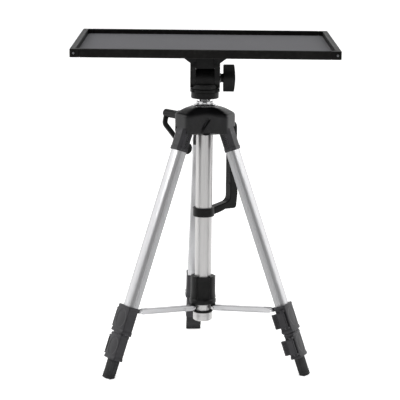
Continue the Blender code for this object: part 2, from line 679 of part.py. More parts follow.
def build_shoulder(parent):
    """Three-lobed shoulder with leg slots, tube socket, pinion pocket and crank boss."""
    bm = bmesh.new()
    add_rod(bm, CORE_R, SHOULDER_BOTTOM_Z, SHOULDER_TOP_Z, 28)
    body = finish("shoulder_body", bm, "black_plastic", parent, smooth=True)
    round_r = LOBE_ROUND
    for key, azimuth in LEG_AZIMUTHS.items():
        far = LOBE_REACH - round_r
        wide = LOBE_HALF_WIDTH - round_r
        lobe = ([(0, -LOBE_HALF_WIDTH)] + arc(far, -wide, round_r, -90, 0, 4)
                + arc(far, wide, round_r, 0, 90, 4) + [(0, LOBE_HALF_WIDTH)])
        turn = Matrix.Rotation(math.radians(azimuth), 4, "Z")
        shape(body, solid("lobe_" + key, lobe, LOBE_BOTTOM_Z, SHOULDER_TOP_Z - 0.0001, None, None, turn),
              "UNION")
    bm = bmesh.new()
    add_rod(bm, CRANK_BOSS_R, CRANK_BOSS_START, CRANK_BOSS_END, 24, crank_frame())
    shape(body, finish("crank_boss", bm, None, None), "UNION")
    top = SHOULDER_TOP_Z
    drop = top - DOME_EDGE_Z
    outside = 2 * LOBE_REACH
    below = SHOULDER_BOTTOM_Z - LOBE_REACH
    dome = [(0, below), (outside, below), (outside, DOME_EDGE_Z)]
    for i in range(DOME_STEPS + 1):
        share = i / DOME_STEPS
        r = LOBE_REACH + (DOME_RING_R - LOBE_REACH) * share
        dome.append((r, DOME_EDGE_Z + drop * math.sin(math.pi / 2 * share)))
    dome.append((0, top))
    shape(body, turned("dome", dome, None, None, 28), "INTERSECT")
    slot_half = LEG_TOP_WIDTH / 2 + GAP
    slot_top = PIVOT_Z + KNUCKLE_R + SLOT_TOP_CLEARANCE
    for key, azimuth in LEG_AZIMUTHS.items():
        turn = Matrix.Rotation(math.radians(azimuth), 4, "Z")
        slot = box_outline(SLOT_INNER_R, LOBE_REACH + 0.02, -slot_half, slot_half)
        shape(body, solid("slot_" + key, slot, SHOULDER_BOTTOM_Z - 0.01, slot_top, None, None, turn))
    bm = bmesh.new()
    socket_top = SHOULDER_BOTTOM_Z + SOCKET_DEPTH
    add_turned(bm, [(0, SHOULDER_BOTTOM_Z - 0.001), (TUBE_R + GAP, SHOULDER_BOTTOM_Z - 0.001),
                    (TUBE_R + GAP, socket_top), (COLUMN_R + GAP, socket_top),
                    (COLUMN_R + GAP, SHOULDER_TOP_Z + 0.001), (0, SHOULDER_TOP_Z + 0.001)])
    shape(body, finish("column_bore", bm, None, None))
    bm = bmesh.new()
    pocket = MODULE * TEETH / 2 + PINION_ADDENDUM + PINION_CLEARANCE
    half = PINION_HALF_WIDTH + GAP
    tail = half + SHAFT_TAIL + GAP
    add_turned(bm, [(0, -tail), (SHAFT_R + GAP, -tail), (SHAFT_R + GAP, -half), (pocket, -half),
                    (pocket, half), (SHAFT_R + GAP, half), (SHAFT_R + GAP, CRANK_BOSS_END + 0.001),
                    (0, CRANK_BOSS_END + 0.001)], 24, crank_frame())
    shape(body, finish("pinion_pocket", bm, None, None))
    bm = bmesh.new()
    for azimuth in LEG_AZIMUTHS.values():
        add_rod(bm, PIVOT_PIN_R + GAP, -LOBE_HALF_WIDTH - 0.001, LOBE_HALF_WIDTH + 0.001, 16,
                pivot_place(azimuth) @ Y_WAY)
    shape(body, finish("pivot_bores", bm, None, None))
    bm = bmesh.new()
    turn = Matrix.Rotation(math.radians(HANDLE_AZIMUTH), 4, "Z")
    tab = box_outline(CORE_R - TAB_DEPTH - GAP, CORE_R + 0.002, -TAB_HALF_WIDTH - GAP, TAB_HALF_WIDTH + GAP)
    add_prism(bm, tab, HANDLE_TOP_Z - TAB_HEIGHT - GAP, HANDLE_TOP_Z + GAP, turn)
    shape(body, finish("handle_pocket", bm, None, None))

    for key, azimuth in LEG_AZIMUTHS.items():
        bm = bmesh.new()
        add_rod(bm, PIVOT_PIN_R, -LOBE_HALF_WIDTH, LOBE_HALF_WIDTH, 16, pivot_place(azimuth) @ Y_WAY)
        finish("pivot_pin_" + key, bm, "steel", parent, smooth=True)


def pivot_place(azimuth):
    """Frame at a leg's pivot: x outward, y along the pin, z up."""
    turn = Matrix.Rotation(math.radians(azimuth), 4, "Z")
    return turn @ Matrix.Translation((PIVOT_R, 0, PIVOT_Z))


def build_crank(shaft_axis, knob_axis, arm_end):
    """Pinion and shaft, the bowed arm and its small knob. All are drawn in the shaft's frame."""
    radius = MODULE * TEETH / 2
    flank = [(radius - PINION_DEDENDUM, PINION_HALF_TOOTH["root"]), (radius, PINION_HALF_TOOTH["pitch"]),
             (radius + PINION_ADDENDUM, PINION_HALF_TOOTH["tip"])]
    outline = []
    for i in range(TEETH):
        centre = 2 * math.pi * i / TEETH
        outline += [(r, centre - half / r) for r, half in flank]
        outline += [(r, centre + half / r) for r, half in flank[::-1]]
    teeth = [(r * math.cos(a), r * math.sin(a)) for r, a in outline]
    pinion = solid("pinion_shaft", teeth, -PINION_HALF_WIDTH, PINION_HALF_WIDTH, "steel", shaft_axis)
    bm = bmesh.new()
    add_rod(bm, SHAFT_R, -PINION_HALF_WIDTH - SHAFT_TAIL, CRANK_PLANE - SHAFT_SHORT, 16)
    shape(pinion, finish("pinion_rod", bm, None, None), "UNION")

    steps = 10
    left = []
    right = []
    for i in range(steps + 1):
        share = i / steps
        x, y = arm_line(share)
        ahead = arm_line(share + 0.01)
        way = Vector((ahead[0] - x, ahead[1] - y)).normalized() * ARM_HALF_WIDTH
        left.append((x - way.y, y + way.x))
        right.append((x + way.y, y - way.x))
    bm = bmesh.new()
    add_prism(bm, left + right[::-1], CRANK_PLANE, CRANK_PLANE + ARM_THICKNESS)
    arm = finish("crank_arm", bm, "black_plastic", shaft_axis)
    bm = bmesh.new()
    add_rod(bm, CRANK_HUB_R, CRANK_BOSS_END + 2 * GAP, CRANK_PLANE + ARM_THICKNESS - 0.0001, 24)
    shape(arm, finish("crank_hub", bm, None, None), "UNION")
    bm = bmesh.new()
    add_rod(bm, ARM_END_R, CRANK_PLANE + 0.0001, CRANK_PLANE + ARM_THICKNESS - 0.0002, 20,
            Matrix.Translation((arm_end[0], arm_end[1], 0)))
    shape(arm, finish("crank_end", bm, None, None), "UNION")
    bm = bmesh.new()
    add_rod(bm, SHAFT_R + GAP, CRANK_BOSS_END, CRANK_PLANE - SHAFT_SHORT + GAP, 16)
    shape(arm, finish("crank_bore", bm, None, None))
    pin_end = CRANK_PLANE - CRANK_KNOB_LENGTH + CRANK_KNOB_WALL
    bm = bmesh.new()
    add_rod(bm, CRANK_PIN_R, pin_end, CRANK_PLANE + 0.001, 14,
            Matrix.Translation((arm_end[0], arm_end[1], 0)))
    shape(arm, finish("crank_pin", bm, None, None), "UNION")
    low = -CRANK_KNOB_LENGTH
    floor = low + CRANK_KNOB_WALL - GAP
    edge = CRANK_KNOB_ROUND
    turned("crank_knob", [(0, low), (CRANK_KNOB_R - edge, low), (CRANK_KNOB_R, low + edge),
                          (CRANK_KNOB_R, -GAP - edge), (CRANK_KNOB_R - edge, -GAP), (CRANK_PIN_R + GAP, -GAP),
                          (CRANK_PIN_R + GAP, floor), (0, floor)], "black_plastic", knob_axis, 24)


def arm_line(share):
    """A point on the crank arm's bowed centre line, in the shaft's frame, seen from outside."""
    x = ARM_ACROSS * share ** 1.5 - ARM_BOW * math.sin(math.pi * min(share * 1.25, 1.0))
    return x, -ARM_DROP * share


def build_handle(parent):
    """C-shaped carrying handle from the shoulder down to a ring round the column tube."""
    top = HANDLE_TOP_Z
    low = HANDLE_LOW_Z
    start = CORE_R + 2 * GAP
    inner = HANDLE_INNER
    outer = HANDLE_OUTER
    corner = HANDLE_CORNER
    bend = HANDLE_BEND
    inside = RING_R - 0.002
    shoulder = top - HANDLE_FALL + HANDLE_TOP_BEND / 2
    outline = ([(start, top), (start, top - TAB_HEIGHT)]
               + arc(inner - corner, top - TAB_HEIGHT - HANDLE_FALL + corner, corner, 60, 0, 3)
               + arc(inner - bend, low + HANDLE_FALL, bend, 0, -80, 4)
               + [(inside, RING_LOW_Z + RING_HEIGHT - 0.001), (inside, RING_LOW_Z + 0.001)]
               + arc(outer - corner, low + corner, corner, -100, 0, 4)
               + arc(outer - HANDLE_TOP_BEND, shoulder, HANDLE_TOP_BEND, 0, 60, 4))
    turn = Matrix.Rotation(math.radians(HANDLE_AZIMUTH), 4, "Z")
    handle = solid("carry_handle", outline, -HANDLE_WIDTH / 2, HANDLE_WIDTH / 2, "black_plastic", parent,
                   turn @ side_place())
    bm = bmesh.new()
    tab = box_outline(CORE_R - TAB_DEPTH, start + 0.001, -TAB_HALF_WIDTH, TAB_HALF_WIDTH)
    add_prism(bm, tab, top - TAB_HEIGHT, top, turn)
    shape(handle, finish("handle_tab", bm, None, None), "UNION")
    bm = bmesh.new()
    add_rod(bm, RING_R, RING_LOW_Z, RING_LOW_Z + RING_HEIGHT, 28)
    shape(handle, finish("handle_ring", bm, None, None), "UNION")
    bm = bmesh.new()
    add_rod(bm, TUBE_R + GAP, RING_LOW_Z - 0.01, RING_LOW_Z + RING_HEIGHT + 0.01, 32)
    shape(handle, finish("handle_ring_bore", bm, None, None))


def hollow(name, outer, inner, low, high, material, parent):
    """A tube between two outlines with the same number of points."""
    bm = bmesh.new()
    loops = [[bm.verts.new((x, y, z)) for x, y in outline]
             for outline, z in ((outer, low), (inner, low), (inner, high), (outer, high))]
    for a in range(4):
        near = loops[a]
        far = loops[(a + 1) % 4]
        for i in range(len(near)):
            j = (i + 1) % len(near)
            bm.faces.new((near[i], near[j], far[j], far[i]))
    return finish(name, bm, material, parent, smooth=True)


def channel(wall, mouth):
    """The outer leg tube: the tube outline with a wall and a mouth on its inner side."""
    outer = shrunk(0)
    inner = shrunk(wall)
    lip = -TUBE_DEPTH / 2
    return ([(lip, -mouth / 2)] + outer + [(lip, mouth / 2), (lip + wall, mouth / 2)]
            + inner[::-1] + [(lip + wall, -mouth / 2)])


def build_leg_top(name, axis):
    body = solid(name, section(LEG_TOP_WIDTH, LEG_TOP_DEPTH, LEG_TOP_CROWN), -LEG_TOP_LENGTH, 2 * KNUCKLE_R,
                 "black_plastic", axis, smooth=True)
    half = LEG_TOP_DEPTH / 2 + 0.001
    side = (arc(0, 0, KNUCKLE_R, 0, 180, 10)
            + [(-KNUCKLE_R, -LEG_TOP_NECK), (-half, -LEG_TOP_FULL), (-half, -LEG_TOP_LENGTH - 0.001),
               (half, -LEG_TOP_LENGTH - 0.001), (half, -LEG_TOP_FULL), (KNUCKLE_R, -LEG_TOP_NECK)])
    shape(body, side_solid(name + "_side", side, LEG_TOP_WIDTH, None, None), "INTERSECT")
    shape(body, solid(name + "_socket", shrunk(-GAP), -LEG_TOP_LENGTH - 0.001, -LEG_SOCKET_TOP, None, None))
    bm = bmesh.new()
    add_rod(bm, PIVOT_PIN_R + GAP, -LEG_TOP_WIDTH, LEG_TOP_WIDTH, 16, Y_WAY)
    shape(body, finish(name + "_bore", bm, None, None))


def build_collar(name, axis, top, length, width, depth, upper, lower):
    """A leg lock: it holds the tube above and guides the one below; ears carry the lever."""
    bottom = top - length
    crown = COLLAR_CROWN
    body = solid(name, section(width, depth, crown), bottom, top, "black_plastic", axis, smooth=True)
    lip = section(width + 2 * COLLAR_LIP, depth + 2 * COLLAR_LIP, crown + COLLAR_LIP)
    shape(body, solid(name + "_lip", lip, bottom - 0.0001, bottom + COLLAR_LIP_LENGTH, None, None), "UNION")
    hinge_y = -width / 2 - LEVER_AXIS_OFF
    centre = bottom + length / 2
    for tag, sign in (("low", -1), ("high", 1)):
        near = centre + sign * (LEVER_LENGTH / 2 + GAP)
        far = near + sign * LEVER_EAR
        root = LEVER_EAR_ROOT - width / 2
        ear = ([(LEVER_AXIS_X + LEVER_BARREL_R, root), (LEVER_AXIS_X - LEVER_BARREL_R, root)]
               + arc(LEVER_AXIS_X, hinge_y, LEVER_BARREL_R, 180, 360, 8))
        shape(body, solid(name + "_ear_" + tag, ear, min(near, far), max(near, far), None, None), "UNION")
    bm = bmesh.new()
    span = LEVER_LENGTH / 2 + LEVER_EAR
    add_rod(bm, LEVER_TRUNNION_R + GAP, centre - span - 0.001, centre + span + 0.001, 12,
            Matrix.Translation((LEVER_AXIS_X, hinge_y, 0)))
    shape(body, finish(name + "_lever_bore", bm, None, None))
    stop = top - COLLAR_STOP
    shape(body, solid(name + "_upper_bore", upper, stop, top + 0.001, None, None))
    shape(body, solid(name + "_lower_bore", lower, bottom - 0.001, stop + 0.001, None, None))
    return body, centre, hinge_y


def build_lever(name, lever_axis, width, depth):
    """A flip lever on two trunnions, drawn about its hinge line; its tab passes the collar's inner edge."""
    face = LEVER_AXIS_OFF - RUN
    end = -LEVER_AXIS_X - depth / 2 - LEVER_OVERHANG
    back = face - LEVER_THICKNESS
    outline = ([(0, back)] + arc(0, 0, LEVER_BARREL_R, -60, 75, 6)
               + [(-LEVER_BARREL_R, face), (end + 0.002, face), (end, face - 0.001), (end, face - LEVER_TIP),
                  (end + LEVER_TIP, back + GAP)])
    half = LEVER_LENGTH / 2
    lever = solid(name, outline, -half, half, "black_plastic", lever_axis, smooth=True)
    bm = bmesh.new()
    span = half + LEVER_EAR
    add_rod(bm, LEVER_TRUNNION_R, -span, span, 12)
    shape(lever, finish(name + "_trunnions", bm, None, None), "UNION")


def leg_frame_z(radius, z):
    """A point in the plane of a leg, given from the column axis, in the leg's own frame."""
    dr = radius - PIVOT_R
    dz = z - PIVOT_Z
    return (dr * math.cos(LEAN) + dz * math.sin(LEAN), -dr * math.sin(LEAN) + dz * math.cos(LEAN))


def build_leg(key, azimuth, rig):
    place = pivot_place(azimuth) @ Matrix.Rotation(-LEAN, 4, "Y")
    leg = empty("leg_%s_axis" % key, place, rig)
    build_leg_top("leg_top_" + key, leg)

    top_1 = -COLLAR_1_TOP
    stop_1 = top_1 - COLLAR_STOP
    bottom_1 = top_1 - COLLAR_1_LENGTH
    top_2 = bottom_1 - COLLAR_SPACE
    stop_2 = top_2 - COLLAR_STOP
    bottom_2 = top_2 - COLLAR_2_LENGTH
    second = TUBE_WALL + RUN
    third = 2 * (TUBE_WALL + RUN)
    solid("tube_upper_" + key, channel(TUBE_WALL, TUBE_MOUTH), stop_1 + GAP, -LEG_SOCKET_TOP - GAP,
          "aluminium", leg, smooth=True)
    body, centre, hinge_y = build_collar("collar_upper_" + key, leg, top_1, COLLAR_1_LENGTH, COLLAR_1_WIDTH,
                                         COLLAR_1_DEPTH, shrunk(-GAP), shrunk(second - RUN))
    lug_x, lug_z = leg_frame_z(LUG_R, LUG_Z)
    root_x = -COLLAR_1_DEPTH / 2 + 0.0008
    fin = ([(root_x, lug_z - LUG_HALF_ROOT), (root_x, min(lug_z + LUG_HALF_ROOT, top_1 - RUN))]
           + arc(lug_x, lug_z, LUG_END_R, 90, 270, 8))
    shape(body, side_solid("lug_" + key, fin, FIN_HALF_THICKNESS, None, None), "UNION")
    hinge = Matrix.Translation((LEVER_AXIS_X, hinge_y, centre))
    lever_axis = empty("lever_upper_%s_axis" % key, hinge, leg)
    build_lever("lever_upper_" + key, lever_axis, COLLAR_1_WIDTH, COLLAR_1_DEPTH)

    middle = empty("middle_%s_axis" % key, Matrix(), leg)
    hollow("tube_middle_" + key, shrunk(second), shrunk(second + TUBE_WALL), stop_2 + GAP, -SECOND_TUBE_TOP,
           "aluminium", middle)
    body, centre, hinge_y = build_collar("collar_middle_" + key, middle, top_2, COLLAR_2_LENGTH,
                                         COLLAR_2_WIDTH, COLLAR_2_DEPTH, shrunk(second - GAP),
                                         shrunk(third - RUN))
    hinge = Matrix.Translation((LEVER_AXIS_X, hinge_y, centre))
    lever_axis = empty("lever_middle_%s_axis" % key, hinge, middle)
    build_lever("lever_middle_" + key, lever_axis, COLLAR_2_WIDTH, COLLAR_2_DEPTH)

    lower = empty("lower_%s_axis" % key, Matrix(), middle)
    foot_top = bottom_2 - GAP
    hollow("tube_lower_" + key, shrunk(third), shrunk(third + TUBE_WALL), foot_top - FOOT_SOCKET + GAP,
           -THIRD_TUBE_TOP, "aluminium", lower)
    outline = section(FOOT_WIDTH, FOOT_DEPTH, TUBE_CROWN)
    ground = (PIVOT_Z + FOOT_DEPTH) / math.cos(LEAN)
    foot = solid("foot_" + key, outline, -ground, foot_top, "rubber", lower, smooth=True)
    half = FOOT_DEPTH / 2 + 0.001
    side = [(-half, foot_top + 0.001), (-half, ground_line(-half)), (half, ground_line(half)),
            (half, foot_top + 0.001)]
    shape(foot, side_solid("foot_side_" + key, side, FOOT_WIDTH, None, None), "INTERSECT")
    shape(foot, solid("foot_socket_" + key, shrunk(third - GAP), foot_top - FOOT_SOCKET, foot_top + 0.001,
                      None, None))


def ground_line(x):
    """Height, in a leg's frame, at which the ground lies under a point x out from the leg's line."""
    return -(PIVOT_Z + x * math.sin(LEAN)) / math.cos(LEAN)


def build_hub(hub):
    """Hub that slides on the column tube: sleeve, skirt with three fins, and the ring below."""
    bore = TUBE_R + RUN
    body = turned("hub_sleeve", [(bore, SKIRT_BOTTOM_Z), (SKIRT_R - 0.001, SKIRT_BOTTOM_Z),
                                 (SKIRT_R, SKIRT_BOTTOM_Z + 0.001), (SKIRT_R, SKIRT_TOP_Z - SKIRT_FALL),
                                 (SKIRT_R - SKIRT_ROUND, SKIRT_TOP_Z - SKIRT_ROUND),
                                 (HUB_SLEEVE_R, SKIRT_TOP_Z), (HUB_SLEEVE_R, HUB_TOP_Z),
                                 (bore, HUB_TOP_Z)], "black_plastic", hub)
    low = HUB_RING_BOTTOM_Z
    for key, azimuth in LEG_AZIMUTHS.items():
        turn = Matrix.Rotation(math.radians(azimuth), 4, "Z")
        near = bore + GAP
        fin = ([(near, low + 0.0005), (HUB_PIN_R - 0.002, low + 0.0005)]
               + arc(HUB_PIN_R, HUB_PIN_Z, HUB_FIN_R, -60, 0, 4)
               + [(HUB_PIN_R + HUB_FIN_R, SKIRT_BOTTOM_Z + 0.002), (near, SKIRT_BOTTOM_Z + 0.002)])
        bm = bmesh.new()
        add_prism(bm, fin, -FIN_HALF_THICKNESS, FIN_HALF_THICKNESS, turn @ side_place())
        shape(body, finish("hub_fin_" + key, bm, None, None), "UNION")
    shape(body, turned("hub_ring", [(bore, low), (HUB_SLEEVE_R, low), (HUB_SLEEVE_R, HUB_RING_TOP_Z),
                                    (bore, HUB_RING_TOP_Z)], None, None), "UNION")
    for key, azimuth in LEG_AZIMUTHS.items():
        place = Matrix.Rotation(math.radians(azimuth), 4, "Z") @ Matrix.Translation((HUB_PIN_R, 0, HUB_PIN_Z))
        half = BRACE_WIDTH / 2
        pin = [(0, -half - RIVET_HEAD - GAP), (RIVET_HEAD_R, -half - RIVET_HEAD - GAP),
               (RIVET_HEAD_R, -half - GAP), (BRACE_PIN_R, -half - GAP), (BRACE_PIN_R, half + GAP),
               (RIVET_HEAD_R, half + GAP), (RIVET_HEAD_R, half + RIVET_HEAD + GAP),
               (0, half + RIVET_HEAD + GAP)]
        shape(body, turned("hub_pin_" + key, pin, None, None, 12, place @ Y_WAY), "UNION")


def build_brace(key, azimuth, hub):
    """A brace bar, forked at both ends, from the hub's fin to the fin on the leg's upper collar."""
    run = LUG_R - HUB_PIN_R
    climb = LUG_Z - HUB_PIN_Z
    length = math.hypot(run, climb)
    place = (Matrix.Rotation(math.radians(azimuth), 4, "Z") @ Matrix.Translation((HUB_PIN_R, 0, HUB_PIN_Z))
             @ Matrix.Rotation(-math.atan2(climb, run), 4, "Y"))
    axis = empty("brace_%s_axis" % key, place, hub)
    tall = BRACE_HEIGHT / 2
    end = BRACE_END_R
    near = BRACE_SHOULDER
    outline = ([(near, -tall), (length - near, -tall)] + arc(length, 0, end, -75, 75, 6)
               + [(length - near, tall), (near, tall)] + arc(0, 0, end, 105, 255, 6))
    brace = side_solid("brace_" + key, outline, BRACE_WIDTH / 2, "aluminium", axis)
    for tag, x0, x1 in (("inner", -0.01, FORK_DEPTH), ("outer", length - FORK_DEPTH, length + 0.01)):
        slot = solid("fork_%s_%s" % (tag, key), box_outline(x0, x1, -FORK_HALF_GAP, FORK_HALF_GAP),
                     -0.01, 0.01, None, None)
        shape(brace, slot)
    bm = bmesh.new()
    add_rod(bm, BRACE_PIN_R + GAP, -BRACE_WIDTH, BRACE_WIDTH, 12, Y_WAY)
    shape(brace, finish("brace_bore_" + key, bm, None, None))
    rivets = bmesh.new()
    for sign in (-1, 1):
        face = sign * BRACE_WIDTH / 2
        low, high = sorted((face - sign * RUN, face + sign * RIVET_HEAD))
        add_rod(rivets, RIVET_HEAD_R, low, high, 12, Matrix.Translation((length, 0, 0)) @ Y_WAY)
    shape(brace, finish("brace_rivets_" + key, rivets, None, None), "UNION")


def main():
    clear_scene()
    stand = empty("stand", Matrix.Translation((0, AXIS_Y, 0)))
    column = empty("column_slide_axis", Matrix(), stand)
    head = empty("head_pan_axis", Matrix(), column)
    tilt = empty("tray_tilt_axis", Matrix.Translation((0, 0, TILT_Z)), head)
    tray = empty("tray_frame", Matrix.Translation((0, 0, -TILT_Z)), tilt)
    knob = empty("tilt_knob_axis", Matrix(), tilt)
    bottom = build_tray(tray)
    build_bracket(tray, bottom)
    build_tilt_lock(tray, knob)
    build_head(head)
    build_column(column)
    build_outer_tube(stand)
    build_shoulder(stand)
    shaft = empty("crank_axis", crank_frame(), stand)
    end = arm_line(1.0)
    crank_knob = empty("crank_knob_axis", Matrix.Translation((end[0], end[1], CRANK_PLANE)), shaft)
    build_crank(shaft, crank_knob, end)
    build_handle(stand)
    hub = empty("hub_slide_axis", Matrix(), stand)
    build_hub(hub)
    for key, azimuth in LEG_AZIMUTHS.items():
        build_leg(key, azimuth, stand)
        build_brace(key, azimuth, hub)
    bpy.context.view_layer.update()


main()
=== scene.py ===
"""Dresses the projector tripod stand: fine surfaces, finishes, studio floor, light and camera.

Every new piece is a grid of points worked out with numpy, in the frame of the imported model, in metres.
"""
import json
import math

import bmesh
import bpy
import numpy as np
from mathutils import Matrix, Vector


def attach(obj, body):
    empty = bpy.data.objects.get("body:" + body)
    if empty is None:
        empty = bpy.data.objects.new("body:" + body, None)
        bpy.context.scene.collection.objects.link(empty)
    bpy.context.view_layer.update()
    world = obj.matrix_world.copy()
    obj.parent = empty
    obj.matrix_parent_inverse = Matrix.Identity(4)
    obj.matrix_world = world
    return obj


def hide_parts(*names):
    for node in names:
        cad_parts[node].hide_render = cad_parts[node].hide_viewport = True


bl_info = {
    "name": "Projector tripod stand",
    "version": (1, 0, 0),
    "blender": (4, 5, 0),
    "location": "3D View > Sidebar > Stand",
    "description": "Builds the visible pieces, finishes and stage of a projector tripod stand",
    "category": "Add Mesh",
}

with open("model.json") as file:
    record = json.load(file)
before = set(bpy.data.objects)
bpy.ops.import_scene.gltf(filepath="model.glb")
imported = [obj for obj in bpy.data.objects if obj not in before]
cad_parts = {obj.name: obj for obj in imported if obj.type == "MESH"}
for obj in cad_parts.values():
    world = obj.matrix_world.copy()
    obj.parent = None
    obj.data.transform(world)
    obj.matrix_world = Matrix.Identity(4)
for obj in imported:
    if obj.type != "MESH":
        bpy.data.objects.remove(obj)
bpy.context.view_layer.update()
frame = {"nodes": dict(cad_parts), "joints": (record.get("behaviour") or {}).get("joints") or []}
MM = 0.001
MERGE_DISTANCE = 2e-6
LEGS = ("rear", "left", "right")
RAILS = ("front", "back", "left", "right")
CORNERS = ("front_left", "front_right", "back_left", "back_right")


def joint(name):
    """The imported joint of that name."""
    return next(j for j in frame["joints"] if j["name"] == name)


# The column's foot on the floor, and the middle of the tilt bolt.
AXIS = np.array(joint("head_pan")["pos_m"]) * (1, 1, 0)
TILT_AXIS = np.array(joint("tray_tilt")["pos_m"])


def mm(*values):
    """Numbers or points given in millimetres, as an array in metres."""
    return np.array(values, float) * MM


def unit(v):
    """Vectors scaled to length one along their last axis."""
    return v / np.maximum(np.linalg.norm(v, axis=-1, keepdims=True), 1e-12)


def smooth(x):
    """0 below 0, 1 above 1, and 3 x^2 - 2 x^3 between them."""
    x = np.clip(x, 0, 1)
    return x ** 2 * (3 - 2 * x)


def angles(count):
    """Even angles once round."""
    return np.arange(count) * 2 * math.pi / count


def matrix(x, y, z, origin):
    """4 by 4 matrix whose columns are three axes and an origin."""
    made = np.eye(4)
    made[:3, :4] = np.array([x, y, z, origin], float).T
    return made


def upright(azimuth, origin=AXIS):
    """Frame with z up and x pointing level along an azimuth in radians."""
    c, s = math.cos(azimuth), math.sin(azimuth)
    return matrix((c, s, 0), (-s, c, 0), (0, 0, 1), origin)


def along(x, y, origin):
    """Frame with the given x and y axes; z is their cross product."""
    return matrix(x, y, np.cross(x, y), origin)


def on_side(place):
    """The frame laid on its side: x stays, y lies along its z, and z against its y."""
    return matrix(place[:3, 0], place[:3, 2], -place[:3, 1], place[:3, 3])


def pin_frame(name):
    """Frame of a joint that turns about a level axis: z along the axis, y up."""
    z = np.array(joint(name)["axis"])
    return matrix(np.cross((0, 0, 1), z), (0, 0, 1), z, joint(name)["pos_m"])


def leg_frame(key):
    """Frame of a leg at its pivot: x out from the column, y along the pivot pin, z up the leg."""
    y = np.array(joint("leg_%s_fold" % key)["axis"])
    z = -np.array(joint("middle_%s_slide" % key)["axis"])
    return matrix(np.cross(y, z), y, z, joint("leg_%s_fold" % key)["pos_m"])


def leg_azimuth(key):
    """Direction in which a leg spreads, in radians."""
    x = leg_frame(key)[:3, 0]
    return math.atan2(x[1], x[0])


# Upright frames at the column's foot and at the tilt bolt, and one whose z runs along the bolt.
COLUMN = upright(0.0)
TILT = upright(0.0, TILT_AXIS)
TILT_PIN = along((0, 1, 0), (0, 0, 1), TILT_AXIS)


def span(node, place=np.eye(4)):
    """Lowest and highest corner of a CAD node, measured in a frame."""
    mesh = frame["nodes"][node].data
    co = np.empty(len(mesh.vertices) * 3)
    mesh.vertices.foreach_get("co", co)
    local = (co.reshape(-1, 3) - place[:3, 3]) @ place[:3, :3]
    return local.min(0), local.max(0)


def local_point(point, place):
    """A world point measured in a frame."""
    return (np.array(point) - place[:3, 3]) @ place[:3, :3]


def rounded(points, radii, steps=6):
    """Closed outline with each corner turned into an arc.

    The arc of radius r touches both sides at r / tan(half the corner's angle) from the corner, and its
    points blend the two touching directions in proportion to the sines of the remaining angles.
    """
    p = np.array(points, float)
    r = np.broadcast_to(np.array(radii, float), len(p))[:, None]
    u = unit(np.roll(p, 1, 0) - p)
    v = unit(np.roll(p, -1, 0) - p)
    corner = np.arccos(np.clip((u * v).sum(1), -1, 1))[:, None]
    reach = r / np.tan(corner / 2)
    centre = p + unit(u + v) * r / np.sin(corner / 2)
    turn = (math.pi - corner)[:, None]
    t = np.linspace(0, 1, steps + 1)[None, :, None]
    start = (p + u * reach - centre)[:, None]
    end = (p + v * reach - centre)[:, None]
    whole = np.maximum(np.sin(turn), 1e-9)
    arcs = (start * np.sin((1 - t) * turn) + end * np.sin(t * turn)) / whole
    return (centre[:, None] + arcs).reshape(-1, 2)


def rect(left, low, right, high, radius, steps=6):
    """Outline of a rectangle with round corners."""
    return rounded([(left, low), (right, low), (right, high), (left, high)], radius, steps)


def ring(inner, outer, low, high, edge, steps=3):
    """Closed (radius, height) profile of a ring with round corners."""
    return rect(inner, low, outer, high, edge, steps)


def bend(x, y, radius, start, end, steps=12):
    """Points of an arc round (x, y) between two angles in degrees."""
    a = np.radians(np.linspace(start, end, steps + 1))
    return np.stack([x + radius * np.cos(a), y + radius * np.sin(a)], 1)


def anticlockwise(outline):
    """The outline, turned round where its signed area is below zero."""
    x, y = outline.T
    area = (x * np.roll(y, -1) - y * np.roll(x, -1)).sum()
    return outline if area > 0 else outline[::-1]


def outward(outline, closed=True):
    """Unit normals of an outline that runs anticlockwise: each tangent turned a quarter clockwise."""
    if closed:
        tangent = np.roll(outline, -1, 0) - np.roll(outline, 1, 0)
    else:
        tangent = np.gradient(outline, axis=0)
    tangent = unit(tangent)
    return np.stack([tangent[:, 1], -tangent[:, 0]], 1)


def grown(outline, growth):
    """The outline once for each growth, moved that far along its normals."""
    return outline[None] + growth[:, None, None] * outward(outline)[None]


def lifted(outlines, heights):
    """Rows of points: each outline at its own height."""
    return np.concatenate([outlines, np.broadcast_to(heights[:, None, None], outlines.shape[:2] + (1,))], 2)


def loft(outline, levels):
    """Rows of a body: at each (height, growth) level the outline moves that far along its normals."""
    levels = np.array(levels, float)
    return lifted(grown(outline, levels[:, 1]), levels[:, 0])


def prism(outline, low, high, edge, steps=4):
    """Rows of a prism with round rims: at angle a it shrinks by edge (1 - sin a) at edge (1 - cos a)."""
    a = np.linspace(0, math.pi / 2, steps + 1)
    rise = edge * (1 - np.cos(a))
    shrink = -edge * (1 - np.sin(a))
    bottom = np.stack([low + rise, shrink], 1)
    top = np.stack([high - rise, shrink], 1)[::-1]
    return loft(outline, np.concatenate([bottom, top]))


def pipe(outer, inner, low, high):
    """Rows of an upright pipe: up its outer outline and down its inner one."""
    return lifted(np.stack([outer, outer, inner, inner]), np.array([low, high, high, low]))


def polar(r, a, z):
    """Rows of points at a radius, an angle and a height each."""
    r, a, z = np.broadcast_arrays(r, a[None], z)
    return np.stack([r * np.cos(a), r * np.sin(a), z], 2)


def turned(profile, sides=96):
    """Rows of a turned body: each (radius, height) point goes round the z axis."""
    profile = np.array(profile, float)
    return polar(profile[:, :1], angles(sides), profile[:, 1:])


